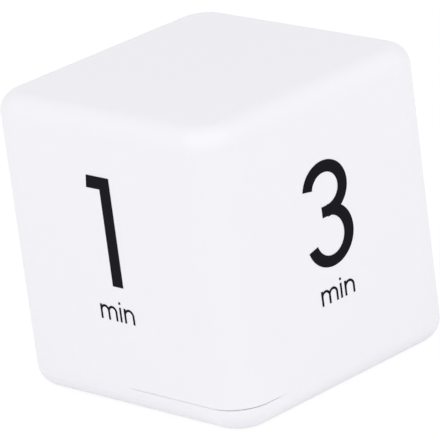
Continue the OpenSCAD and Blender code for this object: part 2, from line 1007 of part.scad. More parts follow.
module tilt_can_1() { tilt_can(0); }
module tilt_can_2() { tilt_can(1); }
module tilt_can_3() { tilt_can(2); }
module tilt_header_1() { tilt_header(0); }
module tilt_header_2() { tilt_header(1); }
module tilt_header_3() { tilt_header(2); }
module tilt_legs_1() { tilt_legs(0); }
module tilt_legs_2() { tilt_legs(1); }
module tilt_legs_3() { tilt_legs(2); }
module tilt_ball_1() { tilt_ball(0); }
module tilt_ball_2() { tilt_ball(1); }
module tilt_ball_3() { tilt_ball(2); }

// Power switch

module switch_case() {
    case_h = board_z - wafer_t - case_z;
    lever_slot = lever_w + switch_travel + 2 * door_gap;
    color("silver")
        difference() {
            block([case_l, case_w, case_h], [switch_at[0], switch_at[1], case_z]);
            block(
                [case_l - 2 * case_t, case_w - 2 * case_t, case_h],
                [switch_at[0], switch_at[1], case_z + case_t]
            );
            block(
                [lever_slot, lever_w + 2 * door_gap, 2 * case_t],
                [switch_at[0], switch_at[1], case_z - case_t / 2]
            );
        }
}

module switch_wafer() {
    color("saddlebrown")
        difference() {
            block([case_l, case_w, wafer_t], [switch_at[0], switch_at[1], board_z - wafer_t]);
            for (k = [-1:1])
                translate([terminal(k)[0], terminal(k)[1], board_z - 2 * wafer_t])
                    cylinder(r = wire_r + pin_fit, h = 3 * wafer_t);
        }
}

module switch_terminals() {
    color("silver")
        for (k = [-1:1])
            translate([terminal(k)[0], terminal(k)[1], board_z - wafer_t])
                cylinder(r = wire_r, h = wafer_t + board_t + lead_over);
}

// Sliding block inside the case, with the lever that sticks out of it
module switch_lever() {
    color("black") {
        block(lever_block, [switch_rest, switch_at[1], case_z + case_t + fit]);
        block(
            [lever_w, lever_w, lever_reach + case_t + 2 * fit],
            [switch_rest, switch_at[1], case_z - lever_reach]
        );
    }
}

// Inside half of the sliding button: it holds the stem below and forks round the lever above
module switch_rider() {
    fork_z = case_z - lever_reach - 2 * rider_gap;
    color("dimgray")
        difference() {
            union() {
                block([rider_l, rider_w, rider_t], [switch_rest, switch_at[1], rider_z]);
                block(
                    [rider_post[0], rider_post[1], rider_top - rider_z],
                    [switch_rest, switch_at[1], rider_z]
                );
            }
            block(
                [lever_w + 2 * pin_fit, rider_post[1] + 1, rider_top],
                [switch_rest, switch_at[1], fork_z]
            );
            block(
                [stem_l + 2 * pin_fit, stem_w + 2 * pin_fit, stem_top - rider_z + eps],
                [switch_rest, switch_at[1], rider_z - eps]
            );
        }
}

// Outside half of the sliding button, ridged for a fingernail
module switch_button() {
    ridge_l = 0.5;
    ridge_h = 0.35;
    button_top = pocket_z - fit;
    color("dimgray")
        difference() {
            union() {
                block([button_l, button_w, button_top - button_z], [switch_rest, switch_at[1], button_z]);
                block(
                    [stem_l, stem_w, stem_top - button_top + eps],
                    [switch_rest, switch_at[1], button_top - eps]
                );
            }
            for (k = [-1.5:1:1.5])
                block(
                    [ridge_l, button_w + 1, ridge_h],
                    [switch_rest + 2 * ridge_l * k, switch_at[1], button_z - eps]
                );
        }
}

// Printing

// Points of an ellipse about c with half axes a, from one angle to another
function arc_points(c, a, from, to) = [
    for (k = [0:arc_steps])
        let (t = from + (to - from) * k / arc_steps)
        [c[0] + a[0] * cos(t), c[1] + a[1] * sin(t)]
];

// Band between two ellipses about one middle
module arc_band(c, outer, inner, from, to) {
    polygon(concat(arc_points(c, outer, from, to), arc_points(c, inner, to, from)));
}

module bar(from, to) {
    translate(from)
        square(to - from);
}

// Numeral 1: upright stem with a flag whose end is cut at a slant
module numeral_1() {
    stem_left = 0.41;
    stem_right = 2.55;
    flag_z = 20.55;
    flag_foot = 4.2;
    flag_tip = 3.79;
    polygon([
        [-stem_left, 0], [stem_right, 0], [stem_right, one_drawn],
        [-flag_tip, one_drawn], [-flag_foot, flag_z], [-stem_left, flag_z]
    ]);
}

// Numeral 3: two bowls that meet in a short bar
module numeral_3() {
    bowl_x = 1.35;
    upper_z = 16.3;
    upper_w = 6.38;
    upper_h = 5.9;
    upper_hole_w = 3.7;
    upper_hole_h = 3.42;
    upper_end = 169.6;
    lower_z = 6.48;
    lower_w = 6.72;
    lower_h = 6.48;
    lower_hole_w = 4.02;
    lower_hole_h = 4.13;
    lower_end = -163;
    bar_l = 2.91;
    bar_bottom = 10.57;
    bar_top = 12.84;
    bar_lap = 0.1;
    arc_band([-bowl_x, upper_z], [upper_w, upper_h], [upper_hole_w, upper_hole_h], -90, upper_end);
    arc_band([-bowl_x, lower_z], [lower_w, lower_h], [lower_hole_w, lower_hole_h], lower_end, 90);
    bar([-bar_l, bar_bottom], [bar_lap - bowl_x, bar_top]);
}

// Numeral 5: top bar and stem that run into one bowl
module numeral_5() {
    bowl_x = 0.4;
    bowl_w = 6.9;
    bowl_h = 7.1;
    hole_w = 4.1;
    hole_h = 4.6;
    top = 22.1;
    bar_left = 4.6;
    bar_right = 5;
    notch = 108;
    stem_end = 140;
    tail_end = -158;
    bowl = [-bowl_x, bowl_h];
    outer = [bowl_w, bowl_h];
    inner = [hole_w, hole_h];
    stem_foot = [bowl[0] + outer[0] * cos(stem_end), bowl[1] + outer[1] * sin(stem_end)];
    polygon(concat(
        [stem_foot, [-bar_left, top], [bar_right, top]],
        [[bar_right, top - stroke], [stroke - bar_left, top - stroke]],
        arc_points(bowl, outer, notch, tail_end),
        arc_points(bowl, inner, tail_end, stem_end)
    ));
}

// Numeral 0: upright ring
module numeral_0() {
    zero_w = 6.7;
    zero_h = 11.1;
    hole_w = 3.95;
    hole_h = 8.7;
    difference() {
        polygon(arc_points([0, zero_h], [zero_w, zero_h], 0, 360));
        polygon(arc_points([0, zero_h], [hole_w, hole_h], 0, 360));
    }
}

module numeral_10() {
    one_x = 7.7;
    one_tall = 22;
    zero_x = 5;
    translate([-one_x, 0])
        scale(one_tall / one_drawn)
            numeral_1();
    translate([zero_x, 0])
        numeral_0();
}

// One arch of m or n, from the middle of one stem to the middle of the next
module arch(width) {
    mid = width / 2;
    arc_band([mid, unit_h - mid], [mid, mid], [mid - unit_stroke, mid - unit_stroke], 0, 180);
    bar([width - unit_stroke, 0], [width, unit_h - mid + eps]);
}

// The unit under each numeral: min
module unit_letters() {
    arch_m = 2.635;
    letter_n = 2.88;
    i_gap = 0.71;
    n_gap = 0.78;
    dot_gap = 0.64;
    i_at = arch_m * 2 - unit_stroke + i_gap;
    n_at = i_at + unit_stroke + n_gap;
    whole = n_at + letter_n;
    translate([-whole / 2, 0]) {
        bar([0, 0], [unit_stroke, unit_h]);
        arch(arch_m);
        translate([arch_m - unit_stroke, 0])
            arch(arch_m);
        translate([i_at, 0]) {
            bar([0, 0], [unit_stroke, unit_h]);
            bar([0, unit_h + dot_gap], [unit_stroke, unit_h + dot_gap + unit_stroke]);
        }
        translate([n_at, 0]) {
            bar([0, 0], [unit_stroke, unit_h]);
            arch(letter_n);
        }
    }
}

// Ink on the side that is turned by this angle from the front, with the unit below
module side_print(turn, bottom, factor, unit_place) {
    color("black")
        rotate(turn)
            translate([0, -half_w, 0])
                rotate([90, 0, 0])
                    linear_extrude(ink_t) {
                        translate([0, bottom])
                            scale(factor)
                                children();
                        translate(unit_place)
                            unit_letters();
                    }
}

module one_print() { side_print(0, one_z, one_scale, one_unit_at) numeral_1(); }
module three_print() { side_print(90, numeral_z, numeral_scale, three_unit_at) numeral_3(); }
module five_print() { side_print(180, numeral_z, numeral_scale, unit_at) numeral_5(); }
module ten_print() { side_print(270, numeral_z, numeral_scale, unit_at) numeral_10(); }

shell();
base_cover();
cover_screws();
battery_door();
battery_cell_1();
battery_cell_2();
negative_contact();
negative_spring();
positive_contact();
link_contact();
link_spring();
main_board();
board_screws();
timer_chip();
chip_leads();
clock_crystal();
filter_capacitor();
chip_resistors();
chip_capacitors();
drive_transistor();
buzzer_case();
buzzer_disc();
buzzer_plug();
buzzer_pins();
tilt_can_1();
tilt_can_2();
tilt_can_3();
tilt_header_1();
tilt_header_2();
tilt_header_3();
tilt_legs_1();
tilt_legs_2();
tilt_legs_3();
tilt_ball_1();
tilt_ball_2();
tilt_ball_3();
switch_case();
switch_wafer();
switch_terminals();
switch_lever();
switch_rider();
switch_button();
one_print();
three_print();
five_print();
ten_print();
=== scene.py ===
"""Looks of a digital flip timer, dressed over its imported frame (metres, +Z up, side 1 toward -Y)."""

import json
import logging
import math
from dataclasses import dataclass
from enum import Enum
from typing import Any, Callable, Optional, Sequence, Union

import bpy
import numpy as np
from mathutils import Matrix, Vector


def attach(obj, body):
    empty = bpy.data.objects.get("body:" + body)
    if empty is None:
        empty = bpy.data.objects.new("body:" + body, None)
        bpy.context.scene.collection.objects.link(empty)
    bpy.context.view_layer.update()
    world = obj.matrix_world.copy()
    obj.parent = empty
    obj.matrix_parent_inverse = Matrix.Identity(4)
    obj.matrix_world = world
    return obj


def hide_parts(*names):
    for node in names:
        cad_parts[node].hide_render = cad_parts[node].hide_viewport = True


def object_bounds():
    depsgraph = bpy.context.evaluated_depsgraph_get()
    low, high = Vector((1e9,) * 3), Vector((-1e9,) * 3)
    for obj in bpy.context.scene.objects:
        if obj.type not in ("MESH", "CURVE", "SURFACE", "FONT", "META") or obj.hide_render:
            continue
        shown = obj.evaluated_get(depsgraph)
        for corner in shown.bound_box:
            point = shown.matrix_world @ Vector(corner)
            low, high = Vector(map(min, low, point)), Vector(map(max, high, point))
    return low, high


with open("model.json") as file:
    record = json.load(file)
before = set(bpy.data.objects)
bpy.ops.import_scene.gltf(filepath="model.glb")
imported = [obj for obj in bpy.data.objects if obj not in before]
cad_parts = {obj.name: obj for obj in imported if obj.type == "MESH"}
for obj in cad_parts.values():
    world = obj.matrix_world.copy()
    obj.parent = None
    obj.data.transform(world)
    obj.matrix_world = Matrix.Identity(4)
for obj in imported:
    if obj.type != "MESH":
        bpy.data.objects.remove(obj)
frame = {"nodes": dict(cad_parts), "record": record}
CAD_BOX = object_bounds()

LOG = logging.getLogger("flip_timer")
MM = 0.001
HOUSING = "housing"
CREASE = math.radians(32.0)
FULL_WHITE = (1.0, 1.0, 1.0, 1.0)
NOISE_MEAN = 0.5
FACE_DOWN = np.diag([1.0, -1.0, -1.0])

Pair = tuple[float, float]
Spots = tuple[Pair, ...]
Triple = tuple[float, float, float]
Colour = Triple
Inputs = dict[Union[str, int], Any]

# Places of the CAD that finishes and pieces share, in millimetres
BOARD_UNDER = 17.0
BOARD_TOP = 18.6
CELL_ROWS = (0.45, 11.55)
CELL_HEIGHT = 7.85


class Slot(str, Enum):
    """Material slots of the record."""

    WHITE = "white_body"
    INK = "black_ink"
    BUTTON = "grey_button"
    STEEL = "steel"
    NICKEL = "nickel"
    TIN = "tin"
    CELL = "cell_jacket"
    BOARD = "board_green"
    EPOXY = "black_epoxy"
    BRASS = "brass"
    PHENOLIC = "phenolic"
    CERAMIC = "tan_ceramic"
    SLEEVE = "capacitor_blue"


# Shader arithmetic


def operator(operation: str, reflected: bool = False) -> Callable[..., "Wire"]:
    """Makes a wire's method for one of Python's operators.

    Args:
        operation: of the Math node that the method adds.
        reflected: whether the other term comes first.

    Returns:
        The method.
    """

    def method(wire: "Wire", *other: "Term") -> "Wire":
        """Math node on the wire and the other term, if there is one."""
        return wire.book.math(operation, *((*other, wire) if reflected else (wire, *other)))

    return method


class Wire:
    """A shader socket that takes part in Python arithmetic; a comparison gives 1 where it holds, else 0."""

    def __init__(self, book: "NodeBook", socket: bpy.types.NodeSocket) -> None:
        """Keeps the book that owns the tree, and the socket."""
        self.book = book
        self.socket = socket

    __add__ = __radd__ = operator("ADD")
    __sub__, __rsub__ = operator("SUBTRACT"), operator("SUBTRACT", True)
    __mul__ = __rmul__ = operator("MULTIPLY")
    __truediv__, __rtruediv__ = operator("DIVIDE"), operator("DIVIDE", True)
    __abs__ = operator("ABSOLUTE")
    __gt__, __lt__ = operator("GREATER_THAN"), operator("LESS_THAN")


Term = Union[Wire, float]


class NodeBook:
    """Writes the nodes of one tree."""

    def __init__(self, tree: bpy.types.NodeTree) -> None:
        """Starts from an empty tree."""
        self.tree = tree
        self.tree.nodes.clear()

    def node(
        self, kind: str, settings: Optional[dict[str, Any]] = None, inputs: Optional[Inputs] = None
    ) -> bpy.types.Node:
        """Adds any node.

        Args:
            kind: the node's type name.
            settings: its properties, set first.
            inputs: values or wires for its sockets, by name or number.

        Returns:
            The new node.
        """
        made = self.tree.nodes.new(kind)
        for key, value in (settings or {}).items():
            setattr(made, key, value)
        for key, value in (inputs or {}).items():
            socket = made.inputs[key]
            if isinstance(value, Wire):
                self.tree.links.new(value.socket, socket)
            else:
                socket.default_value = value
        return made

    def wire(
        self, kind: str, inputs: Optional[Inputs] = None, output: Union[str, int] = 0, **settings: Any
    ) -> Wire:
        """Adds a node and takes one of its outputs as a wire."""
        return Wire(self, self.node(kind, settings, inputs).outputs[output])

    def math(self, operation: str, *terms: Term) -> Wire:
        """A Math node on wires and numbers."""
        return self.wire("ShaderNodeMath", dict(enumerate(terms)), operation=operation)

    def smooth(self, value: Wire, low: float, high: float) -> Wire:
        """A step from 0 to 1 that leaves and arrives softly.

        Args:
            value: what steps.
            low: where the step leaves 0.
            high: where it reaches 1; if this lies under low, the step goes down from 1 to 0.

        Returns:
            The step.
        """
        if low > high:
            return 1 - self.smooth(value, high, low)
        inputs = {0: value, 1: low, 2: high, 3: 0.0, 4: 1.0}
        return self.wire("ShaderNodeMapRange", inputs, interpolation_type="SMOOTHSTEP")

    def mix(self, share: Term, first: Union[Wire, Colour], second: Union[Wire, Colour]) -> Wire:
        """Colour that goes from first to second as share goes from 0 to 1."""
        ends = [end if isinstance(end, Wire) else (*end, 1.0) for end in (first, second)]
        return self.wire("ShaderNodeMix", {0: share, 6: ends[0], 7: ends[1]}, 2, data_type="RGBA")

    def place(self) -> Wire:
        """Object coordinates, in metres of the shared frame."""
        return self.wire("ShaderNodeTexCoord", output="Object")

    def axes(self, place: Wire) -> tuple[Wire, ...]:
        """The X, Y and Z of a vector."""
        split = self.node("ShaderNodeSeparateXYZ", None, {0: place})
        return tuple(Wire(self, axis) for axis in split.outputs)

    def length(self, first: Wire, second: Wire) -> Wire:
        """Length of a vector with these two parts."""
        return self.math("SQRT", first * first + second * second)

    def noise(self, place: Wire, grain: float, detail: float, rough: float) -> Wire:
        """Soft noise from 0 to 1 with lumps about one grain (in metres) across."""
        inputs = {"Vector": place, "Scale": 1.0 / grain, "Detail": detail, "Roughness": rough}
        return self.wire("ShaderNodeTexNoise", inputs)

    def stretched(self, place: Wire, scale: Triple) -> Wire:
        """The place multiplied axis by axis, which draws a pattern out along its small axes."""
        return self.wire("ShaderNodeVectorMath", {0: place, 1: scale}, operation="MULTIPLY")

    def bump(self, height: Wire, distance: float) -> Wire:
        """Normal bent by a height of 0 to 1 that stands for a distance in metres."""
        return self.wire("ShaderNodeBump", {"Height": height, "Distance": distance, "Strength": 1.0})

    def surface(self, inputs: Inputs) -> None:
        """Principled surface with these sockets, joined to the output."""
        shader = self.wire("ShaderNodeBsdfPrincipled", inputs)
        self.node("ShaderNodeOutputMaterial", None, {"Surface": shader})


# Finishes


@dataclass(frozen=True)
class Finish:
    """A surface finish: its name, the record's slot, and a shader that the sort of finish writes."""

    name: str
    slot: Slot

    def material(self) -> bpy.types.Material:
        """The finish as a material, made once.

        Returns:
            The material.
        """
        found = bpy.data.materials.get(self.name)
        if found is None:
            found = bpy.data.materials.new(self.name)
            found.use_nodes = True
            self.shade(NodeBook(found.node_tree))
        return found

    def shade(self, book: NodeBook) -> None:
        """Writes the shader; each sort of finish has its own."""
        raise NotImplementedError


@dataclass(frozen=True)
class MouldedPlastic(Finish):
    """Plastic from a spark-finished mould: fine grain, faint flow tone and uneven gloss."""

    colour: Colour
    shade_colour: Colour
    roughness: float
    grain: float = 0.16 * MM
    grain_depth: float = 0.004 * MM
    gloss: float = 0.5
    flow_size: float = 22.0 * MM
    patch_size: float = 3.5 * MM
    patch_share: float = 0.3
    patch_sheen: float = 0.08
    grain_sheen: float = 0.05

    def shade(self, book: NodeBook) -> None:
        """Tone drifts over centimetres, gloss over millimetres, and a fine grain bends the normal.

        Args:
            book: the tree's writer.
        """
        place = book.place()
        flow = book.noise(place, self.flow_size, detail=2.0, rough=0.45)
        patch = book.noise(place, self.patch_size, detail=3.0, rough=0.6)
        grain = book.noise(place, self.grain, detail=2.0, rough=0.55)
        tone = flow * (1 - self.patch_share) + patch * self.patch_share
        rough = self.roughness + (patch - NOISE_MEAN) * self.patch_sheen
        book.surface(
            {
                "Base Color": book.mix(tone, self.colour, self.shade_colour),
                "Roughness": rough + (grain - NOISE_MEAN) * self.grain_sheen,
                "Normal": self.relief(book, place, grain),
                "Specular IOR Level": self.gloss,
            }
        )

    def relief(self, book: NodeBook, place: Wire, grain: Wire) -> Wire:
        """Normal bent by the grain alone."""
        return book.bump(grain, self.grain_depth)


@dataclass(frozen=True)
class MarkedPlastic(MouldedPlastic):
    """Moulded plastic with signs sunk into its underside beside the power switch: off a ring, on a bar."""

    off_at: Pair = (9.4, -12.3)
    on_at: Pair = (15.0, -12.3)
    reach: float = 1.15
    stroke: float = 0.22
    wall: float = 0.1
    underside: float = 0.1
    sunk: float = 0.25 * MM

    def relief(self, book: NodeBook, place: Wire, grain: Wire) -> Wire:
        """Normal bent by the grain and by the signs, whose walls slope.

        Args:
            book: the tree's writer.
            place: object coordinates.
            grain: height of the mould's grain.

        Returns:
            The normal.
        """
        x, y, z = (axis / MM for axis in book.axes(place))
        middle = self.reach - self.stroke
        ring = abs(book.length(x - self.off_at[0], y - self.off_at[1]) - middle)
        bar = book.math("MAXIMUM", abs(x - self.on_at[0]), abs(y - self.on_at[1]) - middle)
        near = book.smooth(book.math("MINIMUM", ring, bar), self.stroke + self.wall, self.stroke)
        sign = near * (z < self.underside)
        return book.bump(grain * (self.grain_depth / self.sunk) - sign, self.sunk)


@dataclass(frozen=True)
class PrintedInk(Finish):
    """Pad-printed ink: near black, with pinholes of thinner ink and a slightly uneven sheen."""

    colour: Colour
    thin_colour: Colour
    film_size: float = 0.3 * MM
    film_depth: float = 0.004 * MM
    sheen_size: float = 2.5 * MM
    thin_span: Pair = (0.62, 0.8)
    thin_share: float = 0.6
    thin_dulls: float = 0.1
    sheen: float = 0.14
    roughness: float = 0.46
    gloss: float = 0.04

    def shade(self, book: NodeBook) -> None:
        """Thin spots come from the top of a fine noise; sheen follows a coarser one.

        Args:
            book: the tree's writer.
        """
        place = book.place()
        film = book.noise(place, self.film_size, detail=3.0, rough=0.6)
        sheen = book.noise(place, self.sheen_size, detail=2.0, rough=0.5)
        thin = book.smooth(film, *self.thin_span)
        book.surface(
            {
                "Base Color": book.mix(thin * self.thin_share, self.colour, self.thin_colour),
                "Roughness": self.roughness + (sheen - NOISE_MEAN) * self.sheen + thin * self.thin_dulls,
                "Normal": book.bump(film, self.film_depth),
                "Specular IOR Level": self.gloss,
            }
        )


@dataclass(frozen=True)
class PlatedMetal(Finish):
    """Plated metal: drawn or rolled lines along one way, and a dull film in patches."""

    colour: Colour
    film_colour: Colour
    roughness: float
    lines: Triple = (1.0, 1.0, 1.0)
    line_size: float = 0.09 * MM
    line_depth: float = 0.003 * MM
    cloud_size: float = 1.8 * MM
    cloud_span: Pair = (0.42, 0.72)
    film: float = 0.5
    line_sheen: float = 0.12
    haze: float = 0.14

    def shade(self, book: NodeBook) -> None:
        """Lines are noise drawn out by the stretch; the film is soft noise in patches of some millimetres.

        Args:
            book: the tree's writer.
        """
        place = book.place()
        lines = book.noise(book.stretched(place, self.lines), self.line_size, detail=2.0, rough=0.5)
        cloud = book.smooth(book.noise(place, self.cloud_size, detail=4.0, rough=0.6), *self.cloud_span)
        book.surface(
            {
                "Base Color": book.mix(cloud * self.film, self.colour, self.film_colour),
                "Metallic": 1.0,
                "Roughness": self.roughness + (lines - NOISE_MEAN) * self.line_sheen + cloud * self.haze,
                "Normal": book.bump(lines, self.line_depth),
            }
        )


@dataclass(frozen=True)
class CellSleeve(Finish):
    """Plain film on a cell's metal can: signs and rings printed near its ends, and both ends bare."""

    film: Colour
    worn: Colour
    mark: Colour
    metal: Colour
    radius: float = 5.2
    film_edge: float = 0.02
    sign_at: float = 13.5
    reach: float = 1.5
    stroke: float = 0.32
    ring_middle: float = 1.1
    ring_at: float = 19.6
    ring_half: float = 0.2
    scuff_lines: Triple = (0.25, 1.0, 1.0)
    scuff_size: float = 0.4 * MM
    scuff_depth: float = 0.003 * MM
    wear_span: Pair = (0.55, 0.8)
    wear_share: float = 0.5
    wear_dulls: float = 0.12
    film_dulls: float = 0.1
    film_covers: float = 0.7
    roughness: float = 0.24

    def bar(self, along: Wire, aside: Wire, length: float, width: float) -> Wire:
        """1 inside a bar with these half sizes, else 0."""
        return (abs(along) < length) * (abs(aside) < width)

    def shade(self, book: NodeBook) -> None:
        """Distance from the nearer cell's middle line tells film from metal; signs and rings lie along it.

        Args:
            book: the tree's writer.
        """
        place = book.place()
        x, y, z = (axis / MM for axis in book.axes(place))
        low, high = CELL_ROWS
        along = x * ((y < (low + high) / 2) * 2 - 1)
        aside = abs(y - (low + high) / 2) - (high - low) / 2
        lift = z - CELL_HEIGHT
        out = book.length(aside, lift)
        filmed = book.smooth(out, self.radius - self.film_edge, self.radius + self.film_edge)
        head, tail = along - self.sign_at, along + self.sign_at
        level = self.bar(head, aside, self.reach, self.stroke)
        plus = book.math("MAXIMUM", level, self.bar(head, aside, self.stroke, self.reach))
        signs = book.math("MAXIMUM", plus, self.bar(tail, aside, self.reach, self.stroke)) * (lift < 0)
        rings = abs(abs(along - self.ring_middle) - self.ring_at) < self.ring_half
        scuff = book.noise(book.stretched(place, self.scuff_lines), self.scuff_size, detail=3.0, rough=0.6)
        wear = book.smooth(scuff, *self.wear_span)
        film = book.mix(wear * self.wear_share, self.film, self.worn)
        tone = book.mix(book.math("MAXIMUM", signs, rings), film, self.mark)
        book.surface(
            {
                "Base Color": book.mix(filmed, self.metal, tone),
                "Metallic": 1 - filmed * self.film_covers,
                "Roughness": self.roughness + filmed * self.film_dulls + wear * self.wear_dulls,
                "Normal": book.bump(scuff, self.scuff_depth),
            }
        )


@dataclass(frozen=True)
class SolderMask(Finish):
    """Green mask over woven laminate, which shows raw at the board's cut edges and in its holes."""

    colour: Colour
    weave_colour: Colour
    laminate: Colour
    skin: float = 0.02
    weave: float = 0.5
    weave_depth: float = 0.004 * MM
    weave_share: float = 0.35
    film_size: float = 1.6 * MM
    film_share: float = 0.4
    film_sheen: float = 0.1
    cut_dulls: float = 0.4
    roughness: float = 0.3

    def shade(self, book: NodeBook) -> None:
        """The weave is a product of two sine waves; the cut is told by height between the board's faces.

        Args:
            book: the tree's writer.
        """
        place = book.place()
        x, y, z = (axis / MM for axis in book.axes(place))
        wave = 2 * math.pi / self.weave
        weave = book.math("SINE", x * wave) * book.math("SINE", y * wave) * 0.5 + 0.5
        film = book.noise(place, self.film_size, detail=3.0, rough=0.6)
        cut = (z > BOARD_UNDER + self.skin) * (z < BOARD_TOP - self.skin)
        share = weave * self.weave_share + film * self.film_share
        tone = book.mix(share, self.colour, self.weave_colour)
        book.surface(
            {
                "Base Color": book.mix(cut, tone, self.laminate),
                "Roughness": self.roughness + cut * self.cut_dulls + (film - NOISE_MEAN) * self.film_sheen,
                "Normal": book.bump(weave, self.weave_depth),
            }
        )


@dataclass(frozen=True)
class ShrinkSleeve(Finish):
    """Shrunk film on a capacitor: a pale stripe with dashes beside one lead, and a scored bare top."""

    colour: Colour
    stripe: Colour
    metal: Colour
    at: Pair = (0.0, 12.0)
    radius: float = 2.5
    top: float = 25.6
    skin: float = 0.03
    edge: float = 0.35
    stripe_share: float = 0.84
    dash_half: float = 0.4
    dash_pitch: float = 2.3
    dash_length: float = 1.4
    score_span: Pair = (0.05, 0.15)
    score_depth: float = 0.1 * MM
    film_size: float = 0.9 * MM
    film_height: float = 0.03
    film_sheen: float = 0.14
    roughness: float = 0.26

    def shade(self, book: NodeBook) -> None:
        """The stripe is where the side faces -X; the bare top lies in a rolled edge, with a scored cross.

        Args:
            book: the tree's writer.
        """
        place = book.place()
        x, y, z = (axis / MM for axis in book.axes(place))
        aside, ahead = x - self.at[0], y - self.at[1]
        bare = (z > self.top - self.skin) * (book.length(aside, ahead) < self.radius - self.edge)
        dashed = book.math("MODULO", z - BOARD_TOP, self.dash_pitch) < self.dash_length
        striped = (aside < -self.stripe_share * self.radius) * (1 - (abs(ahead) < self.dash_half) * dashed)
        score = book.smooth(book.math("MINIMUM", abs(aside), abs(ahead)), *self.score_span) * bare
        film = book.noise(place, self.film_size, detail=3.0, rough=0.6)
        tone = book.mix(striped, self.colour, self.stripe)
        book.surface(
            {
                "Base Color": book.mix(bare, tone, self.metal),
                "Metallic": bare,
                "Roughness": self.roughness + (film - NOISE_MEAN) * self.film_sheen,
                "Normal": book.bump(score + film * self.film_height, self.score_depth),
            }
        )


WHITE = MouldedPlastic(
    "white satin plastic", Slot.WHITE, (0.903, 0.899, 0.942), (0.893, 0.890, 0.934), 0.42, gloss=0.35
)
COVER = MarkedPlastic(
    "marked white plastic", WHITE.slot, WHITE.colour, WHITE.shade_colour, WHITE.roughness, gloss=WHITE.gloss
)
INK = PrintedInk("black printed ink", Slot.INK, (0.0064, 0.0058, 0.0097), (0.026, 0.025, 0.030))
BUTTON = MouldedPlastic(
    "grey grained plastic", Slot.BUTTON, (0.17, 0.17, 0.18), (0.14, 0.14, 0.15), 0.5, 0.3 * MM, 0.02 * MM
)
STEEL = PlatedMetal("zinc plated steel", Slot.STEEL, (0.58, 0.58, 0.60), (0.44, 0.45, 0.48), 0.28)
NICKEL = PlatedMetal(
    "nickel plate", Slot.NICKEL, (0.70, 0.67, 0.62), (0.56, 0.53, 0.47), 0.2, (1.0, 1.0, 0.1)
)
TIN = PlatedMetal("tin plate", Slot.TIN, (0.68, 0.69, 0.70), (0.52, 0.53, 0.55), 0.32)
CELL = CellSleeve(
    "cell sleeve", Slot.CELL, (0.075, 0.08, 0.095), (0.14, 0.145, 0.16), (0.55, 0.56, 0.58),
    (0.66, 0.65, 0.62),
)
RAW_BOARD = (0.42, 0.38, 0.2)
BOARD = SolderMask("solder mask", Slot.BOARD, (0.010, 0.14, 0.055), (0.008, 0.10, 0.04), RAW_BOARD)
TRACE = SolderMask("masked copper", Slot.BOARD, (0.028, 0.24, 0.085), (0.022, 0.19, 0.065), RAW_BOARD)
EPOXY = MouldedPlastic("moulded epoxy", Slot.EPOXY, (0.02, 0.02, 0.021), (0.012, 0.012, 0.013), 0.55)
BRASS = PlatedMetal(
    "rolled brass", Slot.BRASS, (0.66, 0.47, 0.17), (0.48, 0.31, 0.10), 0.25, (0.1, 1.0, 1.0)
)
PHENOLIC = MouldedPlastic("phenolic board", Slot.PHENOLIC, (0.20, 0.085, 0.032), (0.15, 0.06, 0.022), 0.55)
CERAMIC = MouldedPlastic("fired ceramic", Slot.CERAMIC, (0.38, 0.25, 0.13), (0.33, 0.21, 0.10), 0.5)
SLEEVE = ShrinkSleeve(
    "shrink sleeve", Slot.SLEEVE, (0.012, 0.02, 0.12), (0.5, 0.52, 0.58), (0.62, 0.62, 0.63)
)

FINISHES: dict[str, Finish] = {
    finish.slot.value: finish
    for finish in (
        WHITE, INK, BUTTON, STEEL, NICKEL, TIN, CELL, BOARD, EPOXY, BRASS, PHENOLIC, CERAMIC, SLEEVE
    )
}
NODE_FINISHES: dict[str, Finish] = {"base_cover": COVER}


# Surfaces worked out as arrays


@dataclass(frozen=True)
class Skin:
    """Points and faces as arrays; each face array holds faces with one number of corners."""

    points: np.ndarray
    faces: tuple[np.ndarray, ...]

    def copies(self, spots: Sequence[Any], turn: Optional[np.ndarray] = None) -> "Skin":
        """One copy per spot: a point p goes to turn p + spot.

        Args:
            spots: a point, or rows of points.
            turn: square matrix, or none to leave the skin unturned.

        Returns:
            All copies as one skin, the faces renumbered copy by copy.
        """
        points = self.points if turn is None else self.points @ turn.T
        spread = points + np.reshape(spots, (-1, 1, 3))
        shift = np.arange(len(spread))[:, None, None] * len(points)
        faces = tuple((block[None] + shift).reshape(-1, block.shape[1]) for block in self.faces)
        return Skin(spread.reshape(-1, 3), faces)


def joined(*skins: Skin) -> Skin:
    """Several skins as one, the faces of each renumbered past the points before it.

    Args:
        skins: in their order.

    Returns:
        One skin.
    """
    starts = np.cumsum([0] + [len(skin.points) for skin in skins])
    faces = tuple(block + start for skin, start in zip(skins, starts) for block in skin.faces)
    return Skin(np.concatenate([skin.points for skin in skins]), faces)


def wrapped(grid: np.ndarray, loop: bool = False) -> Skin:
    """Closed surface over a grid of points.

    Columns run round and rows run along, so that column step x row step points outward. Neighbours are joined
    by quads; each end gets a middle point, the mean of its ring, and a fan of triangles, unless rows loop.

    Args:
        grid: points, rows x columns x 3.
        loop: whether the last row joins the first.

    Returns:
        The skin.
    """
    rows, columns = grid.shape[:2]
    row, column = np.meshgrid(np.arange(rows if loop else rows - 1), np.arange(columns), indexing="ij")
    after, beside = (row + 1) % rows * columns, (column + 1) % columns
    row = row * columns
    quads = np.stack([row + column, row + beside, after + beside, after + column], axis=-1).reshape(-1, 4)
    points = grid.reshape(-1, 3)
    if loop:
        return Skin(points, (quads,))
    ring = np.arange(columns)
    turn, last = (ring + 1) % columns, (rows - 1) * columns
    fans = [
        np.stack([np.full(columns, len(points)), turn, ring], axis=1),
        np.stack([np.full(columns, len(points) + 1), last + ring, last + turn], axis=1),
    ]
    middles = np.stack([grid[0].mean(axis=0), grid[-1].mean(axis=0)])
    return Skin(np.concatenate([points, middles]), (quads, np.concatenate(fans)))


def circle(sides: int) -> np.ndarray:
    """Angles of a ring of that many points."""
    return np.linspace(0, 2 * np.pi, sides, endpoint=False)


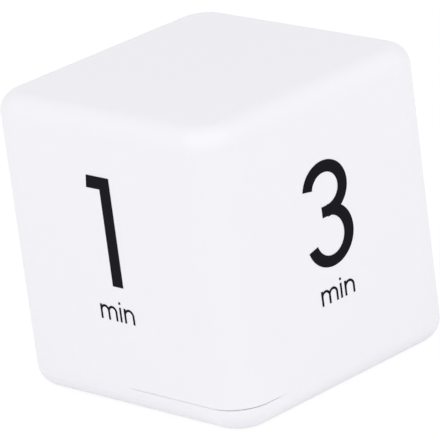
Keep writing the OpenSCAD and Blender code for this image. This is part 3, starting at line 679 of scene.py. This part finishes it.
def turned(profile: np.ndarray, sides: int) -> Skin:
    """Surface of revolution about +Z: a (radius, height) gives a ring radius (cos a, sin a) at that height.

    Args:
        profile: points, n x 2, from the lower end outward and up to the upper end.
        sides: points in each ring.

    Returns:
        The skin, its ends closed flat.
    """
    angle = circle(sides)
    radius, height = profile[:, :1], profile[:, 1:]
    rings = [radius * np.cos(angle), radius * np.sin(angle), height + 0 * angle]
    return wrapped(np.stack(rings, axis=-1))


def rounded(profile: Spots, radius: float, steps: int = 4) -> np.ndarray:
    """Eases the inner corners of a profile.

    Each corner c gives way to (1-t)(1-t) a + 2t(1-t) c + t t b, where a and b lie on its two edges, one
    radius away or a little less than half the edge.

    Args:
        profile: its points in order.
        radius: how far from the corner the curve starts.
        steps: points on each curve.

    Returns:
        The eased profile, n x 2.
    """
    points, most = np.array(profile), 0.45
    corner, starts = points[1:-1], []
    for end in (points[:-2], points[2:]):
        edge = end - corner
        share = np.minimum(radius / np.linalg.norm(edge, axis=1, keepdims=True), most)
        starts.append((corner + edge * share)[:, None])
    t = np.linspace(0, 1, steps)[None, :, None]
    curve = (1 - t) ** 2 * starts[0] + 2 * t * (1 - t) * corner[:, None] + t**2 * starts[1]
    return np.concatenate([points[:1], curve.reshape(-1, 2), points[-1:]])


def tube(path: np.ndarray, outward: np.ndarray, radius: float, sides: int) -> Skin:
    """Round wire: rings p + radius (n cos a + b sin a), n the hint made square to the path, b = path x n.

    Args:
        path: points, n x 3.
        outward: a hint at each point, n x 3.
        radius: of the wire.
        sides: points in each ring.

    Returns:
        The skin, its ends closed flat.
    """
    along = np.gradient(path, axis=0)
    along /= np.linalg.norm(along, axis=1, keepdims=True)
    normal = outward - along * np.sum(outward * along, axis=1, keepdims=True)
    normal /= np.linalg.norm(normal, axis=1, keepdims=True)
    third = np.cross(along, normal)
    angle = circle(sides)[None, :, None]
    ring = normal[:, None] * np.cos(angle) + third[:, None] * np.sin(angle)
    return wrapped(path[:, None] + radius * ring)


def ribbon(path: np.ndarray, width: float, low: float, high: float) -> Skin:
    """Flat strip: a plan point p gives edges p - m w / 2 and p + m w / 2, mitre m = (a + b) / (1 + a . b).

    Args:
        path: points in plan, n x 2; a and b are the left normals of the steps before and after a point.
        width: of the strip, w.
        low: height of its underside.
        high: height of its top.

    Returns:
        The skin, its ends closed flat.
    """
    step = np.diff(path, axis=0)
    step /= np.linalg.norm(step, axis=1, keepdims=True)
    left = np.stack([-step[:, 1], step[:, 0]], axis=1)
    before, after = np.concatenate([left[:1], left]), np.concatenate([left, left[-1:]])
    mitre = (before + after) / (1 + np.sum(before * after, axis=1, keepdims=True)) * width / 2
    sides = np.stack([path - mitre, path - mitre, path + mitre, path + mitre], axis=1)
    heights = np.broadcast_to([high, low, low, high], sides.shape[:2])
    return wrapped(np.concatenate([sides, heights[:, :, None]], axis=2))


def cushion(size: Triple, ease: float) -> Skin:
    """Box that stands on z = 0, its edges eased: rounded rectangles along X, drawn in at both ends.

    Args:
        size: along X, Y and Z.
        ease: radius of the edges.

    Returns:
        The skin.
    """
    (length, width, height), steps = size, 5
    angle = (np.arange(4)[:, None] * np.pi / 2 + np.linspace(0, np.pi / 2, steps)).ravel()
    corner = np.repeat([[1.0, 1.0], [-1.0, 1.0], [-1.0, -1.0], [1.0, -1.0]], steps, axis=0)
    corner = corner * [width / 2 - ease, height / 2 - ease] + [0.0, height / 2]
    from_end, left = np.array([0.0, 0.1, 0.3, 1.0]) * ease, np.array([0.25, 0.45, 0.7, 1.0]) * ease
    along = np.concatenate([from_end - length / 2, length / 2 - from_end[::-1]])[:, None]
    radius = np.concatenate([left, left[::-1]])[:, None]
    across, up = (corner[:, k] + radius * f(angle) for k, f in enumerate((np.cos, np.sin)))
    return wrapped(np.stack([along + 0 * across, across, up], axis=-1))


def lifted(spots: Spots, height: float) -> np.ndarray:
    """Spots in plan as points at one height."""
    return np.array([[x, y, height] for x, y in spots])


def added(name: str, data: bpy.types.ID) -> bpy.types.Object:
    """Puts a new object into the scene.

    Args:
        name: of the object.
        data: its mesh, lamp or camera.

    Returns:
        The object.
    """
    made = bpy.data.objects.new(name, data)
    bpy.context.scene.collection.objects.link(made)
    return made


def make_piece(name: str, skin: Skin, finish: Finish, replaced: Sequence[str] = ()) -> None:
    """Puts a skin given in millimetres into the scene, on the housing.

    Args:
        name: of the piece.
        skin: its points and faces.
        finish: what it is dressed in.
        replaced: CAD nodes that it stands for.
    """
    mesh = bpy.data.meshes.new(name)
    sizes = np.concatenate([np.full(len(block), block.shape[1]) for block in skin.faces])
    starts = np.concatenate([[0], np.cumsum(sizes)[:-1]])
    corners = np.concatenate([block.ravel() for block in skin.faces]).astype(np.int32)
    mesh.vertices.add(len(skin.points))
    mesh.vertices.foreach_set("co", (skin.points * MM).astype(np.float32).ravel())
    mesh.loops.add(len(corners))
    mesh.loops.foreach_set("vertex_index", corners)
    mesh.polygons.add(len(sizes))
    mesh.polygons.foreach_set("loop_start", starts.astype(np.int32))
    mesh.update(calc_edges=True)
    mesh.validate()
    mesh.polygons.foreach_set("use_smooth", np.ones(len(mesh.polygons), dtype=bool))
    mesh.set_sharp_from_angle(angle=CREASE)
    mesh.materials.append(finish.material())
    piece = added(name, mesh)
    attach(piece, HOUSING)
    if replaced:
        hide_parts(*replaced)
    LOG.info("piece %s: %d points, rides on %s", name, len(mesh.vertices), HOUSING)


# Sub-assemblies, sizes in millimetres


@dataclass(frozen=True)
class PartingLine:
    """Locating lip in the gap between shell and base: nearly flush, but set back near one front corner."""

    half: float = 31.75
    corner: float = 7.9
    low: float = 5.185
    high: float = 5.415
    flush: float = 0.02
    deepest: float = 0.5
    back: float = 2.0
    run_steps: int = 120
    bend_steps: int = 30
    opened_at: tuple[float, ...] = (-30.1, -29.4, -27.0, -19.0, -6.0, -3.4, 0.0, 3.4, 6.5, 9.5, 11.2, 16.0)
    opened_by: tuple[float, ...] = (0.0, 0.58, 0.63, 0.56, 0.6, 0.9, 1.0, 1.0, 0.77, 0.58, 0.32, 0.0)

    def build(self) -> None:
        """Four-cornered profile carried along a rounded square, its face set back by the opening squared."""
        flat = self.half - self.corner
        run = np.linspace(-flat, flat, self.run_steps)[:-1]
        bend = np.linspace(-np.pi / 2, 0, self.bend_steps, endpoint=False)
        edge = np.concatenate(
            [
                np.stack([run, np.full_like(run, -self.half)], axis=1),
                np.stack([flat + self.corner * np.cos(bend), -flat + self.corner * np.sin(bend)], axis=1),
            ]
        )
        out = np.concatenate(
            [np.tile([0.0, -1.0], (len(run), 1)), np.stack([np.cos(bend), np.sin(bend)], axis=1)]
        )
        quarter = np.array([[0.0, -1.0], [1.0, 0.0]])
        turns = np.stack([np.linalg.matrix_power(quarter, k) for k in range(4)])
        edge, out = (np.einsum("kij,nj->kni", turns, part).reshape(-1, 2) for part in (edge, out))
        step = np.linalg.norm(np.diff(edge, axis=0, append=edge[:1]), axis=1)
        length = step.sum()
        walked = np.cumsum(step) - step
        middle = walked[len(run) + len(bend) // 2]
        away = (walked - middle + length / 2) % length - length / 2
        opened = np.interp(away, self.opened_at, self.opened_by, left=0.0, right=0.0)
        inset = np.stack([self.flush + self.deepest * opened**2, np.full_like(opened, self.back)], axis=1)
        inset = inset[:, [0, 0, 1, 1]]
        flat_points = edge[:, None] - out[:, None] * inset[:, :, None]
        heights = np.broadcast_to([self.high, self.low, self.low, self.high], inset.shape)
        grid = np.concatenate([flat_points, heights[:, :, None]], axis=2)
        make_piece("parting_lip", wrapped(grid, loop=True), WHITE)


@dataclass(frozen=True)
class Screw:
    """Pan head screw with a cross recess and a rolled thread, drawn head down."""

    head_radius: float
    head_height: float
    radius: float
    length: float
    pitch: float = 0.9
    sides: int = 64
    arm: float = 0.6
    slot: float = 0.23
    wall: float = 0.1
    recess: float = 0.55
    floor_slope: float = 0.35
    crown: float = 0.22
    face_span: Pair = (0.03, 0.93)
    face_steps: int = 30
    rim: Spots = (
        (0.97, -0.74), (0.992, -0.68), (1.0, -0.6), (1.0, -0.08), (0.985, -0.02), (0.95, 0.0), (0.55, 0.0)
    )
    shank_from: float = 0.02
    shank_step: float = 0.09
    root: float = 0.78
    valley: float = 0.3
    flank: float = 0.55
    point: float = 1.2
    tip: float = 0.25

    def ramp(self, inside: np.ndarray) -> np.ndarray:
        """How far down the recess's sloping wall a point is, 0 to 1, by its distance inside an arm's edge."""
        return np.clip(inside / (self.wall * self.head_radius), 0, 1)

    def skin(self) -> Skin:
        """Polar surface: the head's height over radius and angle, the shank's radius over height and angle.

        The head's face is a shallow dome sunk by two crossed arms with sloping walls; its side is straight
        with eased edges. The shank's radius rises from root to crest along a helix and shrinks to a point.

        Returns:
            The skin, the head's underside at height 0 and the shank going up.
        """
        angle = circle(self.sides)[None]
        reach = self.head_radius
        radius = np.linspace(*self.face_span, self.face_steps)[:, None] * reach
        x, y = np.abs(radius * np.cos(angle)), np.abs(radius * np.sin(angle))
        arm, slot = self.arm * reach, self.slot * reach
        across, along = self.ramp(arm - x) * self.ramp(slot - y), self.ramp(arm - y) * self.ramp(slot - x)
        sunk = np.maximum(across, along)
        depth = self.recess * self.head_height * (1 - self.floor_slope * radius / reach)
        dome = self.crown * self.head_height * (radius / reach) ** 2
        face = dome + depth * sunk * sunk * (3 - 2 * sunk) - self.head_height
        rim = np.array(self.rim)
        rim_radius, rim_height = rim[:, :1] * reach, rim[:, 1:] * self.head_height
        steps = int(self.length / self.shank_step)
        height = np.linspace(self.shank_from, self.length, steps)[:, None]
        phase = (height / self.pitch - angle / (2 * np.pi)) % 1
        ridge = np.clip((np.abs(2 * phase - 1) - self.valley) / self.flank, 0, 1)
        taper = np.clip((self.length - height) / (self.point * self.radius), self.tip, 1)
        shank = self.radius * (self.root + (1 - self.root) * ridge) * taper
        radii = np.concatenate([radius + 0 * angle, rim_radius + 0 * angle, shank])
        heights = np.concatenate([face, rim_height + 0 * angle, height + 0 * angle])
        return wrapped(np.stack([radii * np.cos(angle), radii * np.sin(angle), heights], axis=-1))


@dataclass(frozen=True)
class Screws:
    """The four cover screws and the three board screws."""

    post: float = 23.4
    cover_seat: float = 4.0
    standoffs: Spots = ((-20.0, 13.0), (20.0, 13.0), (0.5, -22.0))
    cover_screw: Screw = Screw(2.4, 1.7, 1.2, 13.0)
    board_screw: Screw = Screw(1.6, 1.2, 0.85, 4.4, 0.6, 48)

    def build(self) -> None:
        """Copies of one screw at the posts, and of a smaller one, turned over, at the standoffs."""
        posts = tuple((sx * self.post, sy * self.post) for sx in (-1, 1) for sy in (-1, 1))
        cover = self.cover_screw.skin().copies(lifted(posts, self.cover_seat))
        make_piece("cover_screw_set", cover, STEEL, ["cover_screws"])
        board = self.board_screw.skin().copies(lifted(self.standoffs, BOARD_TOP), FACE_DOWN)
        make_piece("board_screw_set", board, STEEL, ["board_screws"])


@dataclass(frozen=True)
class ContactSpring:
    """Conical coil with closed ends that presses on a cell's flat end."""

    node: str
    seat: Triple
    facing: float
    length: float = 4.2
    wire: float = 0.25
    wide: float = 3.4
    narrow: float = 2.2
    turns: float = 4.5
    resting_turns: float = 0.75
    turn_steps: int = 44
    sides: int = 14

    def build(self) -> None:
        """Wire along (x(s), r(s) cos a, r(s) sin a): r shrinks evenly, x rests at both ends."""
        share = np.linspace(0, 1, int(self.turns * self.turn_steps))
        angle = 2 * np.pi * self.turns * share
        rising_turns = self.turns - 2 * self.resting_turns
        rise = np.clip((share * self.turns - self.resting_turns) / rising_turns, 0, 1)
        rise = rise * rise * (3 - 2 * rise)
        radius = self.wide + (self.narrow - self.wide) * share
        ring = np.stack([np.zeros_like(angle), np.cos(angle), np.sin(angle)], axis=1)
        path = ring * radius[:, None]
        path[:, 0] = self.wire + (self.length - 2 * self.wire) * rise
        wire = tube(path, ring, self.wire, self.sides)
        turn = np.diag([self.facing, self.facing, 1.0])
        make_piece(f"{self.node}_coil", wire.copies(self.seat, turn), NICKEL, [self.node])


@dataclass(frozen=True)
class Cell:
    """One AAA cell: a sleeved can with a rolled rim, a crimped shoulder, a washer and a nub."""

    node: str
    flat_end: Triple
    facing: float
    ease: float = 0.08
    sides: int = 72
    profile: Spots = (
        (0.4, 0.0), (4.0, 0.0), (4.25, 0.22), (4.6, 0.22), (4.78, 0.02), (5.05, 0.08), (5.14, 0.3),
        (5.14, 0.62), (5.25, 0.7), (5.25, 42.35), (5.14, 42.45), (5.14, 42.75), (4.95, 43.2),
        (4.45, 43.48), (3.95, 43.42), (3.8, 43.16), (2.15, 43.16), (1.95, 43.3), (1.9, 44.2),
        (1.72, 44.44), (1.2, 44.5), (0.3, 44.5),
    )

    def build(self) -> None:
        """Radius over length, from the flat end to the nub, turned about the cell's middle line."""
        body = turned(rounded(self.profile, self.ease), self.sides)
        turn = np.array([[0, 0, self.facing], [1, 0, 0], [0, self.facing, 0]])
        cell = body.copies(self.flat_end, turn)
        make_piece(f"{self.node}_sleeved", cell, CELL, [self.node])


@dataclass(frozen=True)
class PowerBay:
    """What lies behind the battery door: two cells head to tail and the springs that press on them."""

    plate: float = 24.6
    flat: float = 20.4

    def build(self) -> None:
        """Cell and spring of each row, the second row turned end for end."""
        for k, (row, facing) in enumerate(zip(CELL_ROWS, (1.0, -1.0))):
            Cell(f"battery_cell_{k + 1}", (-facing * self.flat, row, CELL_HEIGHT), facing).build()
            spring = ("negative_spring", "link_spring")[k]
            ContactSpring(spring, (-facing * self.plate, row, CELL_HEIGHT), facing).build()


@dataclass(frozen=True)
class BoardWork:
    """What is etched and soldered on the board: masked traces, solder joints and the chips' tinned ends."""

    thick: float = 0.035
    sunk: float = 0.01
    fine: float = 0.3
    wide: float = 0.7
    end_reach: float = 0.84
    resistor_end: Triple = (0.38, 1.3, 0.54)
    capacitor_end: Triple = (0.38, 1.3, 0.94)
    end_ease: float = 0.09
    foot: Triple = (0.46, 0.64, 0.19)
    foot_ease: float = 0.06
    fillet: Spots = (
        (0.05, 0.0), (0.85, 0.0), (0.8, 0.06), (0.6, 0.17), (0.46, 0.33), (0.4, 0.52), (0.33, 0.56),
        (0.05, 0.56),
    )
    fillet_ease: float = 0.05
    fillet_steps: int = 3
    fillet_sides: int = 28
    leg_scale: float = 0.78
    tail_scale: Triple = (1.0, 2.2, 1.0)
    crystal_scale: float = 0.5
    via_scale: Triple = (0.6, 0.6, 0.1)
    power: tuple[Spots, ...] = (
        ((-24.2, 11.55), (-23.0, 11.55), (-18.45, 7.0), (-4.85, 7.0)),
        ((-24.2, 0.45), (-21.5, 0.45), (-20.05, -1.0), (-13.85, -1.0)),
        ((-3.15, 7.0), (-0.5, 7.0), (1.5, 9.0), (3.15, 9.0)),
        ((17.85, -3.0), (20.5, -3.0), (22.0, -4.5), (22.0, -12.0), (16.35, -17.65), (14.7, -17.65)),
    )
    signal: tuple[Spots, ...] = (
        ((-12.15, -1.0), (-11.5, -1.0), (-9.175, -3.3), (-9.175, -4.1)),
        ((-16.5, -10.6), (-16.2, -10.9), (-11.2, -10.9), (-10.445, -10.15), (-10.445, -9.9)),
        ((-17.5, -10.6), (-17.5, -10.85), (-16.9, -11.45), (-10.0, -11.45), (-9.175, -10.6), (-9.175, -9.9)),
        ((-14.85, -12.5), (-16.0, -13.65), (-16.0, -17.65)),
        ((-13.15, -12.5), (-11.65, -12.5)),
        ((-9.95, -12.5), (-8.45, -12.5)),
        ((-6.75, -12.5), (-5.365, -11.1), (-5.365, -9.9)),
        ((-3.5, -15.05), (-3.5, -14.0), (-4.095, -13.4), (-4.095, -9.9)),
        ((-4.45, -16.95), (-5.15, -17.65), (-8.4, -17.65)),
        ((-2.55, -16.95), (-2.55, -18.3), (-1.85, -19.0), (8.35, -19.0), (9.7, -17.65)),
        ((0.65, -11.0), (-0.255, -11.0), (-1.555, -9.7)),
        ((2.35, -11.0), (4.5, -11.0), (6.52, -8.98), (6.52, -6.32)),
        ((0.65, -13.5), (-1.9, -13.5), (-2.825, -12.575), (-2.825, -9.9)),
        ((2.35, -13.5), (10.2, -13.5), (12.2, -15.5), (12.2, -17.65)),
        ((0.75, -4.0), (-1.0, -4.0), (-1.555, -4.3)),
        ((2.45, -4.0), (7.6, -4.0), (8.32, -4.52)),
        ((-2.825, -4.1), (-2.825, -0.5), (0.995, 3.32), (7.525, 3.32)),
        ((9.32, 1.525), (10.4, 1.525), (14.925, -3.0), (16.15, -3.0)),
        ((-5.365, -4.1), (-5.365, 1.16), (-7.525, 3.32)),
        ((-9.32, 1.525), (-7.905, 0.11), (-7.905, -4.1)),
        ((4.85, 9.0), (7.4, 9.0)),
    )
    pins: Spots = (
        (-16.0, -17.65), (-8.4, -17.65), (9.7, -17.65), (12.2, -17.65), (14.7, -17.65)
    )
    legs: Spots = (
        (7.525, 3.32), (9.32, 1.525), (-9.32, 1.525), (-7.525, 3.32), (8.32, -4.52), (6.52, -6.32)
    )
    tails: Spots = ((-24.8, 0.45), (-24.8, 11.55))
    crystal_leads: Spots = ((-17.5, -10.6), (-16.5, -10.6))
    vias: Spots = ((7.4, 9.0),)
    resistors: Spots = (
        (-14.0, -12.5), (-10.8, -12.5), (-7.6, -12.5), (1.5, -11.0), (1.5, -13.5), (17.0, -3.0)
    )
    capacitors: Spots = ((-13.0, -1.0), (1.6, -4.0), (4.0, 9.0), (-4.0, 7.0))
    transistor_feet: Spots = ((-4.45, -16.95), (-2.55, -16.95), (-3.5, -15.05))

    def build(self) -> None:
        """Traces, joints and chip ends, each sort one piece."""
        self.build_traces()
        self.build_joints()
        self.build_ends()

    def build_traces(self) -> None:
        """Ribbons along every run, the power runs wider."""
        runs = [(path, self.wide) for path in self.power] + [(path, self.fine) for path in self.signal]
        low, high = BOARD_TOP - self.sunk, BOARD_TOP + self.thick
        strips = [ribbon(np.array(path), width, low, high) for path, width in runs]
        make_piece("board_traces", joined(*strips), TRACE)

    def build_joints(self) -> None:
        """A turned fillet, hollow from pad to pin, copied to every lead and scaled to suit it."""
        fillet = turned(rounded(self.fillet, self.fillet_ease, self.fillet_steps), self.fillet_sides)
        groups = (
            (self.pins, BOARD_TOP, np.eye(3)),
            (self.legs, BOARD_UNDER, FACE_DOWN * self.leg_scale),
            (self.tails, BOARD_TOP, np.diag(self.tail_scale)),
            (self.crystal_leads, BOARD_TOP, np.eye(3) * self.crystal_scale),
            (self.vias, BOARD_TOP, np.diag(self.via_scale)),
        )
        mounds = [fillet.copies(lifted(spots, height), turn) for spots, height, turn in groups]
        make_piece("solder_joints", joined(*mounds), TIN)

    def build_ends(self) -> None:
        """Eased caps over both ends of every small chip, and over the transistor's feet."""
        caps, low = [], BOARD_TOP - self.sunk / 2
        for spots, size in ((self.resistors, self.resistor_end), (self.capacitors, self.capacitor_end)):
            ends = tuple((x + side * self.end_reach, y) for x, y in spots for side in (-1, 1))
            caps.append(cushion(size, self.end_ease).copies(lifted(ends, low)))
        caps.append(cushion(self.foot, self.foot_ease).copies(lifted(self.transistor_feet, low)))
        make_piece("chip_terminations", joined(*caps), TIN)


@dataclass(frozen=True)
class Crystal:
    """Watch crystal lying on the board: a drawn can with a flanged end, and leads bent down to their pads."""

    end: Triple = (-17.0, -3.0, 19.75)
    length: float = 6.0
    leads: Pair = (-17.5, -16.5)
    lead_end: float = -10.6
    lead_radius: float = 0.15
    bend: float = 0.4
    pad: float = 18.55
    rooted: float = 0.2
    ease: float = 0.06
    sides: int = 48
    bend_steps: int = 9
    lead_sides: int = 16
    profile: Spots = (
        (0.05, 0.0), (0.7, 0.0), (0.93, 0.1), (1.0, 0.35), (1.0, 5.45), (1.12, 5.53), (1.15, 5.6),
        (1.15, 5.92), (1.08, 6.0), (0.72, 6.0), (0.68, 5.92), (0.05, 5.92),
    )

    def build(self) -> None:
        """Can: radius over length, turned and laid along -Y. Leads: tubes out, round a quarter and down."""
        laid = np.array([[1.0, 0.0, 0.0], [0.0, 0.0, -1.0], [0.0, 1.0, 0.0]])
        can = turned(rounded(self.profile, self.ease), self.sides).copies(self.end, laid)
        angle = np.linspace(0, np.pi / 2, self.bend_steps)
        y = self.lead_end + self.bend * (1 - np.sin(angle))
        z = self.end[2] - self.bend * (1 - np.cos(angle))
        y = np.concatenate([[self.end[1] - self.length + self.rooted], y, [self.lead_end]])
        z = np.concatenate([[self.end[2]], z, [self.pad]])
        hint = np.tile([1.0, 0.0, 0.0], (len(y), 1))
        paths = [np.stack([np.full_like(y, x), y, z], axis=1) for x in self.leads]
        wires = [tube(path, hint, self.lead_radius, self.lead_sides) for path in paths]
        make_piece("crystal_with_leads", joined(can, *wires), TIN, ["clock_crystal"])


@dataclass(frozen=True)
class TiltCans:
    """Drawn cans of the tilt switches, crimped onto their headers, each along a diagonal of the cube."""

    spots: Spots = ((9.0, 3.0), (-9.0, 3.0), (8.0, -6.0))
    headings: tuple[float, ...] = (45.0, 135.0, 315.0)
    foot: float = 19.2 + 2.5 * math.sqrt(2 / 3)
    ease: float = 0.15
    sides: int = 64
    profile: Spots = (
        (0.05, 10.65), (1.75, 10.65), (2.15, 10.25), (2.15, 0.1), (2.22, 0.0), (2.42, 0.0),
        (2.5, 0.08), (2.5, 0.7), (2.4, 0.9), (2.4, 1.2), (2.5, 1.4), (2.5, 10.4), (2.36, 10.82),
        (1.95, 11.0), (0.05, 11.0),
    )

    def build(self) -> None:
        """Cup of radius over length, turned: inner end and wall, rim, outer wall with a crimp, round end."""
        cup = turned(rounded(self.profile, self.ease), self.sides)
        for k, (spot, heading) in enumerate(zip(self.spots, self.headings)):
            h = math.radians(heading)
            across = np.array([-math.sin(h), math.cos(h), 0.0])
            along = np.array([math.cos(h) * math.sqrt(2), math.sin(h) * math.sqrt(2), 1.0]) / math.sqrt(3)
            turn = np.stack([across, np.cross(along, across), along], axis=1)
            can = cup.copies((*spot, self.foot), turn)
            make_piece(f"tilt_can_{k + 1}_drawn", can, NICKEL, [f"tilt_can_{k + 1}"])


def dress_nodes() -> None:
    """Gives every CAD node that still shows its own finish, or that of its record slot."""
    slots = {row["node"]: row["material_slot"] for row in frame["record"]["subparts"]}
    for name, obj in frame["nodes"].items():
        if obj.hide_render:
            continue
        material = NODE_FINISHES.get(name, FINISHES[slots[name]]).material()
        for k in range(len(obj.material_slots)):
            obj.material_slots[k].material = material
        LOG.info("node %s dressed as %s", name, material.name)


# Studio


@dataclass(frozen=True)
class Lamp:
    """A soft square lamp that looks at the middle of the timer."""

    name: str
    toward: Triple
    distance: float
    side: float
    watts: float

    def build(self) -> None:
        """Hangs the lamp at its distance, its back to the outside."""
        data = bpy.data.lights.new(self.name, "AREA")
        data.shape, data.size, data.energy = "SQUARE", self.side, self.watts
        lamp = added(self.name, data)
        away, middle = Vector(self.toward).normalized(), (CAD_BOX[0] + CAD_BOX[1]) / 2
        turn = away.to_track_quat("Z", "Y").to_matrix().to_4x4()
        lamp.matrix_world = Matrix.Translation(middle + away * self.distance) @ turn


@dataclass(frozen=True)
class Studio:
    """White room: a sky that is dimmer overhead and behind, two soft lamps and a pale floor."""

    sky_level: float = 0.963
    sky_rise: float = -0.10
    sky_dome: float = 0.358
    sky_ahead: float = 0.10
    ahead: Pair = (0.729, -0.684)
    floor_radius: float = 2.5
    floor_sides: int = 96
    floor_drop: float = 0.05 * MM
    floor_glow: float = 0.885
    floor_tone: float = 0.15
    bounce_glow: float = 0.14
    bounce_tone: float = 0.80
    window: float = 28.0 * MM
    window_fade: float = 7.0 * MM
    lamps: tuple[Lamp, ...] = (
        Lamp("lamp over the front", (-0.17, -0.69, 0.70), 1.2, 0.6, 2.27),
        Lamp("lamp over the right", (0.69, 0.17, 0.70), 1.2, 0.6, 2.26),
    )

    def seen(self, book: NodeBook) -> Wire:
        """Tells rays that show a picture from those that only carry light.

        Args:
            book: the tree's writer.

        Returns:
            1 for rays from the camera, a mirror or glass, else 0.
        """
        rays = book.node("ShaderNodeLightPath").outputs
        kinds = ("Camera", "Glossy", "Transmission")
        camera, glossy, through = (Wire(book, rays[f"Is {kind} Ray"]) for kind in kinds)
        return book.math("MAXIMUM", camera, book.math("MAXIMUM", glossy, through))

    def build_sky(self) -> None:
        """World: level + rise z - dome z z + ahead (d . a) in direction d for light, white where seen."""
        world = bpy.data.worlds.new("white room")
        bpy.context.scene.world = world
        world.use_nodes = True
        book = NodeBook(world.node_tree)
        x, y, z = book.axes(book.wire("ShaderNodeTexCoord", output="Generated"))
        level = self.sky_level + z * self.sky_rise - z * z * self.sky_dome
        level = level + (x * self.ahead[0] + y * self.ahead[1]) * self.sky_ahead
        light, white = (
            book.wire("ShaderNodeBackground", {"Color": FULL_WHITE, "Strength": power})
            for power in (level, 1.0)
        )
        both = book.wire("ShaderNodeMixShader", {0: self.seen(book), 1: light, 2: white})
        book.node("ShaderNodeOutputWorld", None, {"Surface": both})

    def build_floor(self) -> None:
        """Floor disc: white where it is seen, with the timer's shadow; it bounces light as paper does.

        It is clear from below, and under the timer, so that the underside can be looked at.
        """
        turn = circle(self.floor_sides)
        rim = np.stack([np.cos(turn), np.sin(turn), np.zeros_like(turn)], axis=1) * self.floor_radius
        rim[:, 2] = -self.floor_drop
        mesh = bpy.data.meshes.new("floor")
        mesh.from_pydata(rim, [], [list(range(len(rim)))])
        floor = added("floor", mesh)
        material = bpy.data.materials.new("pale floor")
        material.use_nodes = True
        book = NodeBook(material.node_tree)
        seen = self.seen(book)
        strength = self.bounce_glow + seen * (self.floor_glow - self.bounce_glow)
        colour = book.mix(seen, (self.bounce_tone,) * 3, (self.floor_tone,) * 3)
        glow = book.wire("ShaderNodeEmission", {"Color": FULL_WHITE, "Strength": strength})
        tone = book.wire("ShaderNodeBsdfDiffuse", {"Color": colour})
        top = book.wire("ShaderNodeAddShader", {0: glow, 1: tone})
        x, y, _ = book.axes(book.place())
        under = book.smooth(book.math("MAXIMUM", abs(x), abs(y)), self.window, self.window - self.window_fade)
        below = book.wire("ShaderNodeNewGeometry", output="Backfacing")
        clear = book.wire("ShaderNodeBsdfTransparent")
        both = book.wire("ShaderNodeMixShader", {0: book.math("MAXIMUM", under, below), 1: top, 2: clear})
        book.node("ShaderNodeOutputMaterial", None, {"Surface": both})
        mesh.materials.append(material)

    def build(self) -> None:
        """Sky, floor and lamps."""
        self.build_sky()
        self.build_floor()
        for lamp in self.lamps:
            lamp.build()
        bpy.context.scene.view_settings.view_transform = "Standard"


@dataclass(frozen=True)
class Viewpoint:
    """The photograph's camera: angles round the body's middle in degrees, the rest in millimetres."""

    azimuth: float = 46.76937
    elevation: float = 19.33241
    roll: float = -7.53997
    distance: float = 900.01323
    aside: float = 0.40379
    raised: float = 1.15667
    lens: float = 361.6388
    sensor: float = 36.0
    middle: Triple = (0.0, 0.0, 31.75)
    near: float = 10.0
    far: float = 20000.0

    def build(self) -> None:
        """Camera that looks back along its Z, its X and Y turned by the roll, moved in its own plane."""
        a, e, r = (math.radians(v) for v in (self.azimuth, self.elevation, self.roll))
        back = Vector((math.sin(a) * math.cos(e), -math.cos(a) * math.cos(e), math.sin(e)))
        level = Vector((math.cos(a), math.sin(a), 0))
        upright = back.cross(level)
        right = math.cos(r) * level + math.sin(r) * upright
        up = -math.sin(r) * level + math.cos(r) * upright
        eye = (Vector(self.middle) + back * self.distance - right * self.aside - up * self.raised) * MM
        data = bpy.data.cameras.new("camera")
        data.sensor_width, data.lens = self.sensor, self.lens
        data.clip_start, data.clip_end = self.near * MM, self.far * MM
        camera = added("camera", data)
        turn = Matrix((right, up, back)).transposed().to_4x4()
        camera.matrix_world = Matrix.Translation(eye) @ turn
        bpy.context.scene.camera = camera


def main() -> None:
    """Builds the scene in order: camera, studio, pieces, finishes."""
    logging.basicConfig(level=logging.INFO, format="%(name)s: %(message)s")
    Viewpoint().build()
    Studio().build()
    PartingLine().build()
    Screws().build()
    PowerBay().build()
    BoardWork().build()
    Crystal().build()
    TiltCans().build()
    dress_nodes()


if __name__ == "__main__":
    main()
